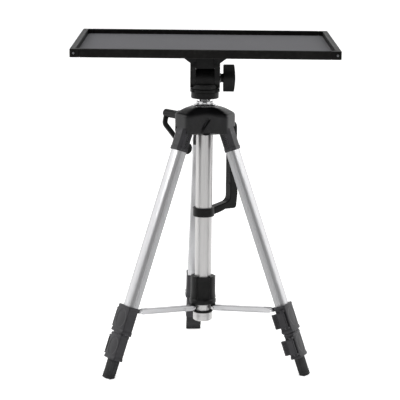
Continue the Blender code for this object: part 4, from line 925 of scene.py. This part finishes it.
class STAND_OT_shoulder(StandPiece, bpy.types.Operator):
    """Builds the three-lobed shoulder with its leg slots, grooves, sunk panels and crank boss"""
    bl_idname = "stand.shoulder"
    bl_label = "Shoulder"

    def build(self, sizes):
        low, high = span("shoulder_body", COLUMN)
        base, crest = low[2], high[2]
        reach, half_width, core, top_r, bore = mm(43.8, 19.6, 25.6, 18.0, 11.3)
        edge_z = crest - 8.0 * MM
        a = angles(600)
        off = a[:, None] - np.array([leg_azimuth(k) for k in LEGS])[None]
        c = np.clip(np.cos(off), 0, None)
        lobes = ((c / reach) ** 7 + (np.abs(np.sin(off)) / half_width) ** 7) ** (-1 / 7)
        lobes = np.where(np.cos(off) > 0, lobes, 0)
        outline = (core ** 9 + (lobes ** 9).sum(1)) ** (1 / 9)
        lobed = np.clip((outline - core) / (4 * MM), 0, 1)
        floor = base + 4.5 * MM * smooth(lobed)
        brow = (8.0 - 1.5 * lobed) * MM
        slope = np.arctan2((crest - edge_z) * math.pi / 2, outline - 0.5 * brow - top_r)
        share = np.linspace(0, 1, 22)[:, None]
        dome_r = top_r + (outline - brow * (1 - np.sin(slope)) - top_r) * share
        dome_z = edge_z + (crest - edge_z) * np.cos(share * math.pi / 2)
        t = slope + (math.pi / 2 - slope) * np.linspace(0, 1, 10)[1:, None]
        brow_r = outline - brow * (1 - np.sin(t))
        brow_z = edge_z - brow * (np.cos(slope) - np.cos(t))
        side = np.linspace(0, 1, 70)[1:, None]
        side_z = brow_z[-1:] + (floor[None] + MM - brow_z[-1:]) * side
        side_r = outline[None] + self.relief(a, side_z - base, core, lobed)
        curl = np.linspace(0, math.pi / 2, 8)[1:, None]
        hem_r = outline - MM * (1 - np.cos(curl))
        hem_z = floor + MM * (1 - np.sin(curl))
        under = np.concatenate([mm((15.0, 0), (12.8, 0), (12.8, 14)), [(bore, 14 * MM)]]) + (0, base)
        rows = [(bore, crest), (dome_r, dome_z), (brow_r, brow_z), (side_r, side_z), (hem_r, hem_z),
                (under[:, :1], under[:, 1:])]
        body = Shell().grid(np.concatenate([polar(r, a, z) for r, z in rows])[::-1], COLUMN, through=True)
        cuts = [self.slot(k, base) for k in LEGS] + [self.boss_seat()]
        settle("shoulder", carve(body, cuts), "shoulder_black", "base", "shoulder_body", sharp=55)
        self.boss()

    def slot(self, key, base):
        """Opening for a leg top: an (outward, up) outline with a hood over its mouth, carried across."""
        knuckle = leg_frame(key)[2, 3] + 6.1 * MM
        hood = knuckle - 17.0 * MM
        floor = base - 10 * MM
        back, mouth, brow, ledge = mm(22.5, 60, 41.5, 40.6)
        corners = [(back, floor), (mouth, floor), (mouth, hood), (brow, hood)]
        corners += [(ledge, knuckle), (back, knuckle)]
        side = rounded(corners, mm(0.3, 0.3, 0.3, 0.3, 1.5, 2), 5)
        rows = prism(side, -15.3 * MM, 15.3 * MM, 0.2 * MM, 2)
        return Shell().grid(rows, on_side(upright(leg_azimuth(key))))

    def boss_seat(self):
        """Bore through the wall for the crank's shaft."""
        return Shell().grid(turned(mm((3.3, 12), (3.3, 45)), 48), pin_frame("crank_turn"))

    def boss(self):
        """Boss round the crank's shaft, with a stepped collar at its outer end."""
        profile = mm((3.3, 20), (7.5, 20), (7.5, 38), (6.8, 38.4), (6.8, 39.4), (7.5, 39.8), (7.5, 43),
                     (3.3, 43))
        settle("crank_boss", Shell().lathe(rounded(profile, 0.3 * MM, 4), 80, pin_frame("crank_turn")),
               "shoulder_black", "base")

    def relief(self, a, h, core, lobed):
        """Depth of the wall between two lobes: a slanting groove and a sunk panel beside it.

        u is the distance round the wall from the middle of the gap and h the height over the hem. The groove
        follows u = 0.6 h - 11.8 mm, and its depth falls off as exp(-(gap / 2.1 mm) ** 4) with the gap to it.
        """
        depth = np.zeros_like(h)
        for key in LEGS:
            off = (a - leg_azimuth(key) - math.pi / 3 + math.pi) % (2 * math.pi) - math.pi
            gap = core * off[None] - 0.6 * h + 11.8 * MM
            groove = np.exp(-(gap / (2.1 * MM)) ** 4)
            beside = np.clip((gap - 4.2 * MM) / (0.8 * MM), 0, 1)
            under = np.clip((15.0 * MM - h - 0.5 * gap) / (0.8 * MM), 0, 1)
            near = np.abs(off) < math.pi / 3
            depth -= near * (2.6 * groove + 1.3 * beside * under) * MM
        depth *= np.clip((h - 3.0 * MM) / (1.5 * MM), 0, 1) * np.clip((28 * MM - h) / (3 * MM), 0, 1)
        return depth * np.clip(2.0 - 2.2 * lobed, 0, 1)


class STAND_OT_crank(StandPiece, bpy.types.Operator):
    """Builds the crank's bowed arm and small knob"""
    bl_idname = "stand.crank"
    bl_label = "Crank"

    def build(self, sizes):
        shaft = pin_frame("crank_turn")
        low, high = span("crank_arm", shaft)
        knob = local_point(joint("crank_grip_spin")["pos_m"], shaft)
        plane, face = knob[2], high[2]
        bow, half = mm(7.5, 3.7)
        turn = 0.27
        t = np.linspace(0, 1, 40)
        lean = math.copysign(bow, knob[0]) * 0.55
        x = -lean * np.minimum(t / turn, 1) + (knob[0] + lean) * np.clip((t - turn) / (1 - turn), 0, 1)
        x = np.convolve(np.concatenate([[x[0]] * 2, x, [x[-1]] * 2]), np.ones(5) / 5, "valid")
        line = np.stack([x, knob[1] * t], 1)
        side = outward(line, closed=False) * half
        outline = anticlockwise(np.concatenate([line - side, (line + side)[::-1]]))
        shell = Shell().grid(prism(outline, plane, face - 0.2 * MM, 1.2 * MM), shaft)
        bore, hub_r, back = 0.3 * MM, 6.2 * MM, low[2] + 0.1 * MM
        hub = rounded([(bore, back), (hub_r, back), (hub_r, plane - 3 * MM), (hub_r, face), (bore, face)],
                      0.8 * MM, 4)
        shell.lathe(hub, 64, shaft)
        end = shaft.copy()
        end[:3, 3] += shaft[:3, :3] @ (knob * (1, 1, 0))
        shell.lathe(ring(bore, 5.5 * MM, plane + 0.1 * MM, face - 0.1 * MM, 0.9 * MM, 4), 64, end)
        settle("bowed_arm", shell, "head_black", "crank", "crank_arm")
        low, high = span("crank_knob", end)
        r, foot, top = high[0] + 1.3 * MM, low[2], high[2]
        grip = [(2.3 * MM, foot + MM), (bore, foot + MM), (bore, foot), (r - MM, foot), (r, foot + 1.6 * MM),
                (r * 0.94, (foot + top) / 2), (r, top - 1.6 * MM), (r - MM, top), (2.3 * MM, top)]
        rows = turned(rounded(grip, 0.25 * MM, 4), 120)
        flute = 1 - 0.02 * (np.cos(20 * angles(120)) > 0.3)
        rim = np.hypot(rows[..., 0], rows[..., 1]) > 0.85 * r
        rows[..., :2] *= np.where(rim, flute[None], 1.0)[..., None]
        settle("crank_grip", Shell().grid(rows, end, through=True), "head_black", "crank_grip", "crank_knob")


class STAND_OT_handle(StandPiece, bpy.types.Operator):
    """Builds the C-shaped carrying handle and its ring"""
    bl_idname = "stand.handle"
    bl_label = "Carrying handle"

    def build(self, sizes):
        base = upright(math.radians(35))
        low, high = span("carry_handle", base)
        inner, outer = high[0] - 11.3 * MM, high[0]
        top, bottom = high[2], low[2]
        ring_top = bottom + 15 * MM
        side = anticlockwise(np.concatenate([
            mm((26.3, 0), (26.3, -10)) + (0, top),
            bend(inner - 8 * MM, top - 26 * MM, 8 * MM, 60, 0),
            bend(inner - 10 * MM, bottom + 29 * MM, 10 * MM, 0, -72),
            mm((14.2, 14), (14.2, 3), (22, 4.5)) + (0, bottom),
            bend(38 * MM, bottom - 2 * MM, 11 * MM, 125, 95),
            bend(outer - 4.4 * MM, bottom + 13.5 * MM, 5 * MM, -85, 5),
            mm((2.4, 31), (2.0, 48), (0, 90)) + (outer, bottom),
            bend(outer - 12 * MM, top - 18 * MM, 12 * MM, 0, 60)]))
        place = on_side(base)
        shell = Shell().grid(prism(side, -7 * MM, 7 * MM, sizes.handle_edge, 5), place)
        shell.lathe(ring(12.9 * MM, 16.2 * MM, bottom + 2 * MM, ring_top, 0.8 * MM, 4), 96, base)
        for height in bottom + mm(45, 62, 79, 96):
            pad = rect(inner - 0.6 * MM, height, inner + 2 * MM, height + 4 * MM, 0.5 * MM, 4)
            shell.grid(prism(pad, -5 * MM, 5 * MM, 0.6 * MM), place)
        settle("handle", shell, "head_black", "base", "carry_handle")


class STAND_OT_leg_tops(StandPiece, bpy.types.Operator):
    """Builds the legs' top mouldings, with an arched panel in each outer face"""
    bl_idname = "stand.leg_tops"
    bl_label = "Leg tops"

    def build(self, sizes):
        knuckle, neck = mm(5.5, -18)
        for key in LEGS:
            place = leg_frame(key)
            low, high = span("leg_top_" + key, place)
            width, depth = high[1] - low[1] - 3.0 * MM, high[0] - low[0] - 1.0 * MM
            outline = faceted(width, depth, 0.56 * width, 3.4 * MM, 1.2 * MM)
            bottom, full = low[2], depth / 2
            z = np.concatenate([bottom + mm(0, 0.2, 0.7, 5.2, 5.8),
                                np.linspace(bottom + 6.2 * MM, neck - MM, 4), np.linspace(neck, -4 * MM, 8),
                                knuckle * np.sin(np.linspace(0, math.pi / 2, 9)[:-1])])
            grow = np.zeros(len(z))
            grow[:9] = mm(-0.9, -0.35, 0, 0, -0.5, -0.5, -0.5, -0.5, -0.5)
            slope = np.clip((neck - z) / (-14 * MM), 0, 1)
            half = np.where(z < neck, full, full + (knuckle - full) * slope)
            half = np.where(z > 0, np.sqrt(np.clip(knuckle ** 2 - z ** 2, 1e-8, None)), half)
            rows = lifted(grown(outline, grow), z)
            rows[..., 0] *= (half / full)[:, None]
            rows[..., 1] = np.clip(rows[..., 1], -width / 2, width / 2)
            body = Shell().grid(rows, place)
            settle("leg_cap_" + key, carve(body, [self.arch(place, bottom, width, full)]), "lock_grey",
                   "leg_" + key, "leg_top_" + key)

    def arch(self, place, bottom, width, face):
        """Shallow arched recess in the outer face: a tall outline with a half-round head, sunk 0.5 mm."""
        half = 0.27 * width
        foot = bottom + 8 * MM
        outline = np.concatenate([[(-half, foot), (half, foot)], bend(0, bottom + 21 * MM, half, 0, 180)])
        rows = prism(outline, face - 0.5 * MM, face + 2 * MM, 0.1 * MM, 2)
        return Shell().grid(rows, along(place[:3, 1], place[:3, 2], place[:3, 3]))


class STAND_OT_leg_tubes(StandPiece, bpy.types.Operator):
    """Builds the three telescopic tubes of each leg"""
    bl_idname = "stand.leg_tubes"
    bl_label = "Leg tubes"

    def build(self, sizes):
        wall = 1.15 * MM
        for key in LEGS:
            place = leg_frame(key)
            for level, body in (("upper", "leg_"), ("middle", "middle_"), ("lower", "lower_")):
                node = "tube_%s_%s" % (level, key)
                low, high = span(node, place)
                width, depth = high[1] - low[1], high[0] - low[0]
                crown = 6 * MM - (26 * MM - width) / 2
                groove = sizes.groove if level == "upper" else 0.0
                outer = crowned(width, depth, crown, 0.9 * MM, groove)
                if level == "upper":
                    section = self.channel(outer, depth, wall)
                    shell = Shell().grid(prism(section, low[2], high[2], 0.12 * MM, 2), place)
                else:
                    inner = outer - wall * outward(outer)
                    shell = Shell().grid(pipe(outer, inner, low[2], high[2]), place, through=True)
                tube = settle("silver_" + node, shell, "tube_silver", body + key, node)
                self.flanks(tube.data, place[:3, 1])

    def flanks(self, mesh, across):
        """Gives painted-shade flank finish to faces whose normal is within 40 degrees of the width."""
        mesh.materials.append(material("shaded_flank_silver"))
        normals = np.empty(len(mesh.polygons) * 3)
        mesh.polygons.foreach_get("normal", normals)
        side = np.abs(normals.reshape(-1, 3) @ across) > 0.77
        mesh.polygons.foreach_set("material_index", side.astype(np.int32))

    def channel(self, outer, depth, wall):
        """Outline of a tube with a mouth along its inner side: the outer path, then the inner one back."""
        mouth = 7.5 * MM
        path = np.concatenate([[(-depth / 2, -mouth)], outer, [(-depth / 2, mouth)]])
        normal = outward(path, closed=False)
        normal[0] = normal[-1] = (-1, 0)
        return np.concatenate([path, (path - wall * normal)[::-1]])


class STAND_OT_locks(StandPiece, bpy.types.Operator):
    """Builds the leg locks with their lips, ears and brace lugs"""
    bl_idname = "stand.locks"
    bl_label = "Leg locks"

    def build(self, sizes):
        for key in LEGS:
            place = leg_frame(key)
            for level, next_level, body in (("upper", "middle", "leg_"), ("middle", "lower", "middle_")):
                node = "collar_%s_%s" % (level, key)
                hinge = local_point(joint("latch_%s_%s_flip" % (level, key))["pos_m"], place)
                low, high = span(node, place)
                width = 2 * high[1] - 1.6 * MM
                depth = 2 * high[0] - 1.6 * MM
                inside = span("tube_%s_%s" % (level, key), place)
                below = span("tube_%s_%s" % (next_level, key), place)
                shell = self.sleeve(width, depth, low[2], high[2], inside, below, place)
                lever = span("lever_%s_%s" % (level, key), place)
                for sign in (-1, 1):
                    self.ear(shell, sign, hinge, abs(low[1] - hinge[1]), width, lever, place)
                if level == "upper":
                    self.lug(shell, low[0], depth, key, place)
                    gap = span("collar_middle_" + key, place)[1][2] + 0.35 * MM
                    self.bushing(shell, below, gap, low[2] + MM, place)
                settle("lock_%s_%s" % (level, key), shell, "lock_grey", body + key, node)

    def sleeve(self, width, depth, low, high, inside, below, place):
        """Sleeve of a lock round its two tubes, with a flared lip below and an eased top.

        Its front sinks by 0.5 mm inside an ellipse, eased over a quarter of the ellipse's measure.
        """
        left, right = -width / 2 + 0.4 * MM, width / 2 - 2.6 * MM
        inner, outer = -depth / 2 + 1.7 * MM, depth / 2 + 0.3 * MM
        outline = bowed(left, right, inner, outer, 1.3 * MM, 1.4 * MM)
        rim = mm((0, 0), (0.25, 0.55), (0.8, 0.8), (3.2, 0.8), (5.2, 0)) + (low, 0)
        wall = [(z, 0) for z in np.linspace(low + 6 * MM, high - 4.6 * MM, 30)]
        crest = mm((-4, 0), (-3.6, 0.35), (-0.9, 0.35), (-0.3, 0.1), (0, -0.5)) + (high, 0)
        rows = loft(outline, np.concatenate([rim, wall, crest]))
        across = rows[..., 1] / (0.34 * width)
        up = (rows[..., 2] - (low + high) / 2 - 0.5 * MM) / (0.36 * (high - low))
        sunk = smooth((1 - across ** 2 - up ** 2) / 0.25)
        rows[..., 0] -= 0.5 * MM * sunk * (rows[..., 0] > outer - 2 * MM)
        step = np.clip(inside[0][2] - 0.3 * MM, low + MM, high - MM)
        share = (outline - (inner, left)) / (outer - inner, right - left)
        bores = []
        for tube, height in ((inside, high), (inside, step), (below, step), (below, low)):
            small, large = tube[0][:2] - 0.3 * MM, tube[1][:2] + 0.3 * MM
            bore = small + share * (large - small)
            bores.append(np.concatenate([bore, np.full((len(bore), 1), height)], 1))
        return Shell().grid(np.concatenate([rows, bores]), place, through=True)

    def bushing(self, shell, tube, low, high, place):
        """Dark ring round the next tube, in the gap under the lock."""
        size = tube[1] - tube[0]
        hole = faceted(size[1] + 0.6 * MM, size[0] + 0.6 * MM, 0.55 * size[1], 3 * MM, 0.8 * MM)
        shell.grid(pipe(hole + 3.6 * MM * outward(hole), hole, low, high), place, through=True)

    def ear(self, shell, sign, hinge, barrel, width, lever, place):
        """Ear beside the lever: a round nose on the hinge line that runs back into the sleeve."""
        middle = (lever[0][2] + lever[1][2]) / 2
        low, high = sorted((middle + sign * 11.5 * MM, middle + sign * 14.4 * MM))
        root = -width / 2 + 3 * MM
        outline = np.concatenate([bend(hinge[0], hinge[1], barrel, -180, 0, 14),
                                  [(hinge[0] + barrel + MM, root), (hinge[0] - barrel - 2 * MM, root)]])
        shell.grid(prism(outline, low, high, 0.4 * MM, 3), place)

    def lug(self, shell, tip, depth, key, place):
        """Fin for the brace on the inner side of the lock."""
        z = local_point(brace_end(key), place)[2]
        root = -depth / 2 + 3 * MM
        end_r = 3.0 * MM
        outline = np.concatenate([bend(tip + end_r, z, end_r, 90, 270),
                                  [(root, z - 3.4 * MM), (root, z + 3.2 * MM)]])
        shell.grid(prism(outline, -1.4 * MM, 1.4 * MM, 0.25 * MM, 2), on_side(place))


def brace_frame(key):
    """Frame of a brace at its hub pin: x along the brace, y level across it."""
    pin = np.array(joint("brace_%s_fold" % key)["pos_m"])
    base = upright(leg_azimuth(key))
    low, high = span("brace_" + key, base)
    rise = (high[2] + low[2]) / 2 - pin[2]
    angle = math.atan2(2 * rise, high[0] - local_point(pin, base)[0] - 3 * MM)
    x = base[:3, 0] * math.cos(angle) + np.array((0, 0, math.sin(angle)))
    return along(x, base[:3, 1], pin)


def brace_end(key):
    """Middle of the brace's outer end, in the world."""
    place = brace_frame(key)
    length = span("brace_" + key, place)[1][0] - 3 * MM
    return place[:3, 3] + place[:3, 0] * length


class STAND_OT_levers(StandPiece, bpy.types.Operator):
    """Builds the flip levers of the locks with their ribbed thumb tabs"""
    bl_idname = "stand.levers"
    bl_label = "Flip levers"

    def build(self, sizes):
        for key in LEGS:
            place = leg_frame(key)
            for level in ("upper", "middle"):
                name = "%s_%s" % (level, key)
                hinge = local_point(joint("latch_%s_flip" % name)["pos_m"], place)
                low, high = span("lever_" + name, place)
                settle("flip_" + name, self.plate(low, high, hinge, place), "lock_grey", "latch_" + name,
                       "lever_" + name)

    def plate(self, low, high, hinge, place):
        """Lever plate: a barrel on the hinge line that thins to a hooked tab, ribbed on its outer face."""
        back, face = hinge[1] - 2.1 * MM, hinge[1] + 2.9 * MM
        tip = low[0]
        nose = bend(hinge[0], hinge[1], 2.8 * MM, -60, 75.6, 9)
        hook = mm((2, 0), (0.5, -0.4), (0, -1.2), (0, -2.6)) + (tip, face)
        heel = mm((1.2, 1.0), (3, 0.3)) + (tip, back)
        outline = np.concatenate([nose, [(hinge[0] - 3 * MM, face)], hook, heel, [(hinge[0] - 2 * MM, back)]])
        half = 11.25 * MM
        middle = (low[2] + high[2]) / 2
        shell = Shell().grid(prism(outline, middle - half, middle + half, 0.6 * MM, 4), place)
        inset = half - 2 * MM
        for x in tip + mm(3.2, 4.9, 6.6, 8.3):
            rib = rect(x, back - 0.35 * MM, x + 0.8 * MM, back + 0.6 * MM, 0.3 * MM, 3)[::-1]
            shell.grid(prism(rib, middle - inset, middle + inset, 0.25 * MM, 2), place)
        return shell


class STAND_OT_feet(StandPiece, bpy.types.Operator):
    """Builds the feet, cut level with the floor"""
    bl_idname = "stand.feet"
    bl_label = "Feet"

    def build(self, sizes):
        up = mm(0, 0.3, 0.9, 2.6, 3.0, 3.6, 4.0, 5.6, 6.0, 6.6, 7.0)
        grow = mm(-0.9, -0.35, 0, 0, -0.5, -0.5, 0, 0, -0.5, -0.5, 0)
        for key in LEGS:
            place = leg_frame(key)
            low, high = span("foot_" + key, place)
            half_width, half_depth = (high[1] - low[1]) / 2, (high[0] - low[0]) / 2
            outline = bowed(-half_width + 1.2 * MM, half_width - 1.2 * MM, -half_depth + 1.6 * MM,
                            half_depth - 0.5 * MM, 3.4 * MM, 2.6 * MM)
            flat = grown(outline, grow)
            ground = -(place[2, 3] + place[2, 0] * flat[..., 0]) / place[2, 2]
            sole = np.concatenate([flat, (ground + up[:, None])[..., None]], 2)
            crest = loft(outline, mm((-1.0, 0), (-0.3, -0.3), (0, -0.9)) + (high[2], 0))
            shell = Shell().grid(np.concatenate([sole, crest]), place)
            settle("rubber_foot_" + key, shell, "foot_rubber", "lower_" + key, "foot_" + key)


class STAND_OT_hub(StandPiece, bpy.types.Operator):
    """Builds the sliding hub: sleeve with tabs, rolled skirt, fins and lower ring"""
    bl_idname = "stand.hub"
    bl_label = "Sliding hub"

    def build(self, sizes):
        low, high = span("hub_sleeve", COLUMN)
        bore, skirt_r = mm(13.1, 20.0)
        floor = low[2]
        skirt_low = floor + 12.8 * MM
        skirt_top = skirt_low + 14.4 * MM
        skin = mm((-1.5, 0), (0, 2), (0, 6.4), (-1.9, 9.0)) + (skirt_r, skirt_low)
        top = [(skirt_r - 2.4 * MM, skirt_top), (bore, skirt_top)]
        roll = rounded(np.concatenate([[(bore, skirt_low)], skin, top]), 0.7 * MM, 5)
        shell = Shell().lathe(roll, 160, COLUMN)
        self.sleeve(shell, bore, skirt_low + 9.6 * MM, high[2])
        shell.lathe(ring(bore, 15.5 * MM, floor, floor + 2.4 * MM, 0.3 * MM), 128, COLUMN)
        for key in LEGS:
            self.fin(shell, key, floor + 0.5 * MM, skirt_low + 2 * MM)
        settle("slide_hub", shell, "head_black", "hub", "hub_sleeve")
        rivet = rounded(mm((0.2, -5.0), (1.8, -5.0), (2.2, -4.3), (1.2, -4.25), (1.2, 4.25), (2.2, 4.3),
                           (1.8, 5.0), (0.2, 5.0)), 0.04 * MM, 3)
        for key in LEGS:
            settle("hub_rivet_" + key, Shell().lathe(rivet, 40, pin_frame("brace_%s_fold" % key)),
                   "bright_steel", "hub")

    def sleeve(self, shell, bore, low, high):
        """Sleeve of three tall plates, over the legs, and three low ones, parted by upright grooves."""
        a = angles(288)
        wave = np.cos(3 * (a - leg_azimuth("rear")))
        tab = np.clip((wave - 0.22) / 0.16, 0, 1)
        seam = np.exp(-((wave - 0.12) / 0.09) ** 2)
        up = np.linspace(0, 1, 24)[:, None]
        top = high - 1.7 * MM * (1 - tab) - 1.2 * MM * seam
        z = low + (top[None] - low) * up
        flare = 0.9 * MM * (1 - np.clip(up / 0.3, 0, 1)) ** 2
        r = 18.9 * MM + flare - 0.9 * MM * seam[None] - 0.25 * MM * (1 - tab[None])
        crest = z[-1] + 0.35 * MM * (tab < 0.5)
        rows = [polar(r, a, z), polar(r[-1:] - 0.4 * MM, a, crest), polar(bore, a, np.stack([crest, z[0]]))]
        shell.grid(np.concatenate(rows), COLUMN, through=True)

    def fin(self, shell, key, low, high):
        """Fin that carries a brace, from the bore out to its pin."""
        pin = joint("brace_%s_fold" % key)["pos_m"]
        base = upright(leg_azimuth(key))
        r = local_point(pin, base)[0]
        root, nose = mm(13.4, 2.8)
        tip = bend(r, pin[2], nose, -90, 0, 8)
        outline = np.concatenate([[(root, low)], tip, [(r + nose, high), (root, high)]])
        shell.grid(prism(outline, -1.4 * MM, 1.4 * MM, 0.2 * MM, 2), on_side(base))


class STAND_OT_braces(StandPiece, bpy.types.Operator):
    """Builds the silver braces: rounded bars with a long recess in each side and riveted ends"""
    bl_idname = "stand.braces"
    bl_label = "Braces"

    def build(self, sizes):
        half, end_r, near = mm(4.0, 3.0, 4.0)
        rivet = rounded(mm((0.2, 3.4), (2.2, 3.4), (2.2, 4.2), (1.6, 4.8), (0.2, 4.8)), 0.15 * MM, 3)
        for key in LEGS:
            place = brace_frame(key)
            length = span("brace_" + key, place)[1][0] - end_r
            far = length - near
            outline = np.concatenate([[(near, -half), (far, -half)], bend(length, 0, end_r, -75, 75, 10),
                                      [(far, half), (near, half)], bend(0, 0, end_r, 105, 255, 10)])
            turn = on_side(place)
            bar = Shell().grid(prism(outline, -half, half, 0.7 * MM, 3), turn)
            cuts = [self.recess(turn, sign, length, half) for sign in (-1, 1)]
            for start, end in ((-20 * MM, 12.5 * MM), (length - 12.5 * MM, length + 20 * MM)):
                cuts.append(self.fork(place, start, end))
            settle("brace_bar_" + key, carve(bar, cuts), "brace_silver", "brace_" + key, "brace_" + key)
            heads = Shell()
            for sign in (-1, 1):
                end = matrix(place[:3, 0], place[:3, 2] * -sign, place[:3, 1] * sign,
                             place[:3, 3] + place[:3, 0] * length)
                heads.lathe(rivet, 40, end)
            settle("brace_rivets_" + key, heads, "bright_steel", "brace_" + key)

    def fork(self, place, start, end):
        """Slot that straddles a fin."""
        outline = rect(start, -1.8 * MM, end, 1.8 * MM, 0.3 * MM, 3)
        return Shell().grid(prism(outline, -10 * MM, 10 * MM, 0.1 * MM, 1), place)

    def recess(self, turn, sign, length, half):
        """Long recess in a side face, 0.7 mm deep, between a top and a bottom rib."""
        outline = rect(16 * MM, -2.6 * MM, length - 16 * MM, 1.6 * MM, 1.2 * MM, 6)
        low, high = sorted((sign * (half - 0.7 * MM), sign * (half + 2 * MM)))
        return Shell().grid(prism(outline, low, high, 0.1 * MM, 1), turn)


class STAND_OT_inner_parts(StandPiece, bpy.types.Operator):
    """Gives the CAD pieces that stay in sight their finishes"""
    bl_idname = "stand.inner_parts"
    bl_label = "Board, pins and pinion"

    def build(self, sizes):
        finishes = {"tray_board": "tray_black", "pinion_shaft": "bright_steel"}
        finishes.update({"pivot_pin_" + k: "head_black" for k in LEGS})
        for node, name in finishes.items():
            mesh = frame["nodes"][node].data
            mesh.materials.clear()
            mesh.materials.append(material(name))


class STAND_OT_stage(StandPiece, bpy.types.Operator):
    """Sets up the pale floor, the soft studio light and the camera"""
    bl_idname = "stand.stage"
    bl_label = "Floor, light and camera"

    def build(self, sizes):
        self.floor()
        self.sky()
        self.light("left_screen", (-1.9, 0.3, 0.95), 1.6, 3.6)
        self.light("right_screen", (1.7, 0.8, 0.95), 1.6, 3.6)
        self.light("left_wash", (-2.1, -0.2, 1.5), 0.7, 15.0)
        self.light("right_wash", (2.1, 0.1, 1.5), 0.7, 12.0)
        self.light("front_strip", (-0.5, -1.9, 2.3), 0.7, 9.0)
        bpy.context.scene.view_settings.view_transform = "Standard"
        self.camera()

    def floor(self):
        """Floor that sweeps up into a backdrop far behind: a quarter circle between two flats."""
        front, back, sweep, wide, tall = 40.0, 4.0, 3.0, 40.0, 9.0
        t = np.linspace(0, math.pi / 2, 24)
        curve = np.stack([back + sweep * np.sin(t), sweep * (1 - np.cos(t))], 1)
        line = np.concatenate([[(-front, 0.0)], curve, [(back + sweep, tall)]])
        points = [(-wide, y, z) for y, z in line] + [(wide, y, z) for y, z in line]
        n = len(line)
        mesh = bpy.data.meshes.new("floor")
        mesh.from_pydata(points, [], [(i, n + i, n + i + 1, i + 1) for i in range(n - 1)])
        mesh.shade_smooth()
        obj = link("floor", mesh)
        mix = Recipe("studio_floor")
        cloud = mix.noise(mix.place(), 3.0)
        mix.set(Base_Color=mix.blend(cloud, (0.93, 0.93, 0.93), (0.95, 0.95, 0.95)), Roughness=0.9,
                Emission_Color=(1.0, 1.0, 1.0), Emission_Strength=0.58)
        mesh.materials.append(mix.material)

    def sky(self):
        """Even white light from all round."""
        world = bpy.data.worlds.new("studio")
        world.use_nodes = True
        world.node_tree.nodes["Background"].inputs["Color"].default_value = (1.0, 1.0, 1.0, 1.0)
        world.node_tree.nodes["Background"].inputs["Strength"].default_value = 0.30
        bpy.context.scene.world = world

    def light(self, name, spot, size, power):
        """Square area light that points at the middle of the stand."""
        lamp = bpy.data.lights.new(name, "AREA")
        lamp.shape = "SQUARE"
        lamp.size = size
        lamp.energy = power
        obj = link(name, lamp)
        obj.location = spot
        aim = Vector((0.0, 0.0, 0.28)) - Vector(spot)
        obj.rotation_euler = aim.to_track_quat("-Z", "Y").to_euler()

    def camera(self):
        """Camera of the photograph: level distance, height, pitch and roll measured from the picture."""
        distance, height, side = 2.439, 0.754, -0.0057
        pitch, roll = math.radians(11.7), math.radians(0.58)
        focal_pixels, width_pixels = 1655.0, 400.0
        data = bpy.data.cameras.new("camera")
        data.sensor_width = 36.0
        data.lens = data.sensor_width * focal_pixels / width_pixels
        data.clip_end = 60.0
        obj = link("camera", data)
        spot = Matrix.Translation((side, AXIS[1] - distance, height))
        aim = Matrix.Rotation(math.pi / 2 - pitch, 4, "X")
        obj.matrix_world = spot @ aim @ Matrix.Rotation(roll, 4, "Z")
        bpy.context.scene.camera = obj


OPERATORS = (STAND_OT_rim, STAND_OT_mat, STAND_OT_screws, STAND_OT_yoke, STAND_OT_tilt_knob, STAND_OT_column,
             STAND_OT_shoulder, STAND_OT_crank, STAND_OT_handle, STAND_OT_leg_tops, STAND_OT_leg_tubes,
             STAND_OT_locks, STAND_OT_levers, STAND_OT_feet, STAND_OT_hub, STAND_OT_braces,
             STAND_OT_inner_parts, STAND_OT_stage)


class STAND_PT_panel(bpy.types.Panel):
    """Sizes, colours and build buttons of the stand"""
    bl_label = "Projector stand"
    bl_idname = "STAND_PT_panel"
    bl_space_type = "VIEW_3D"
    bl_region_type = "UI"
    bl_category = "Stand"

    def draw(self, context):
        for group in (context.scene.stand_sizes, context.scene.stand_looks):
            box = self.layout.box()
            for name in group.__annotations__:
                box.prop(group, name)
        for operator in OPERATORS:
            self.layout.operator(operator.bl_idname)


CLASSES = (StandSizes, StandLooks) + OPERATORS + (STAND_PT_panel,)


def register():
    for cls in CLASSES:
        bpy.utils.register_class(cls)
    bpy.types.Scene.stand_sizes = bpy.props.PointerProperty(type=StandSizes)
    bpy.types.Scene.stand_looks = bpy.props.PointerProperty(type=StandLooks)


def unregister():
    del bpy.types.Scene.stand_sizes
    del bpy.types.Scene.stand_looks
    for cls in reversed(CLASSES):
        bpy.utils.unregister_class(cls)


def main():
    register()
    for operator in OPERATORS:
        group, name = operator.bl_idname.split(".")
        getattr(getattr(bpy.ops, group), name)()


if __name__ == "__main__":
    main()
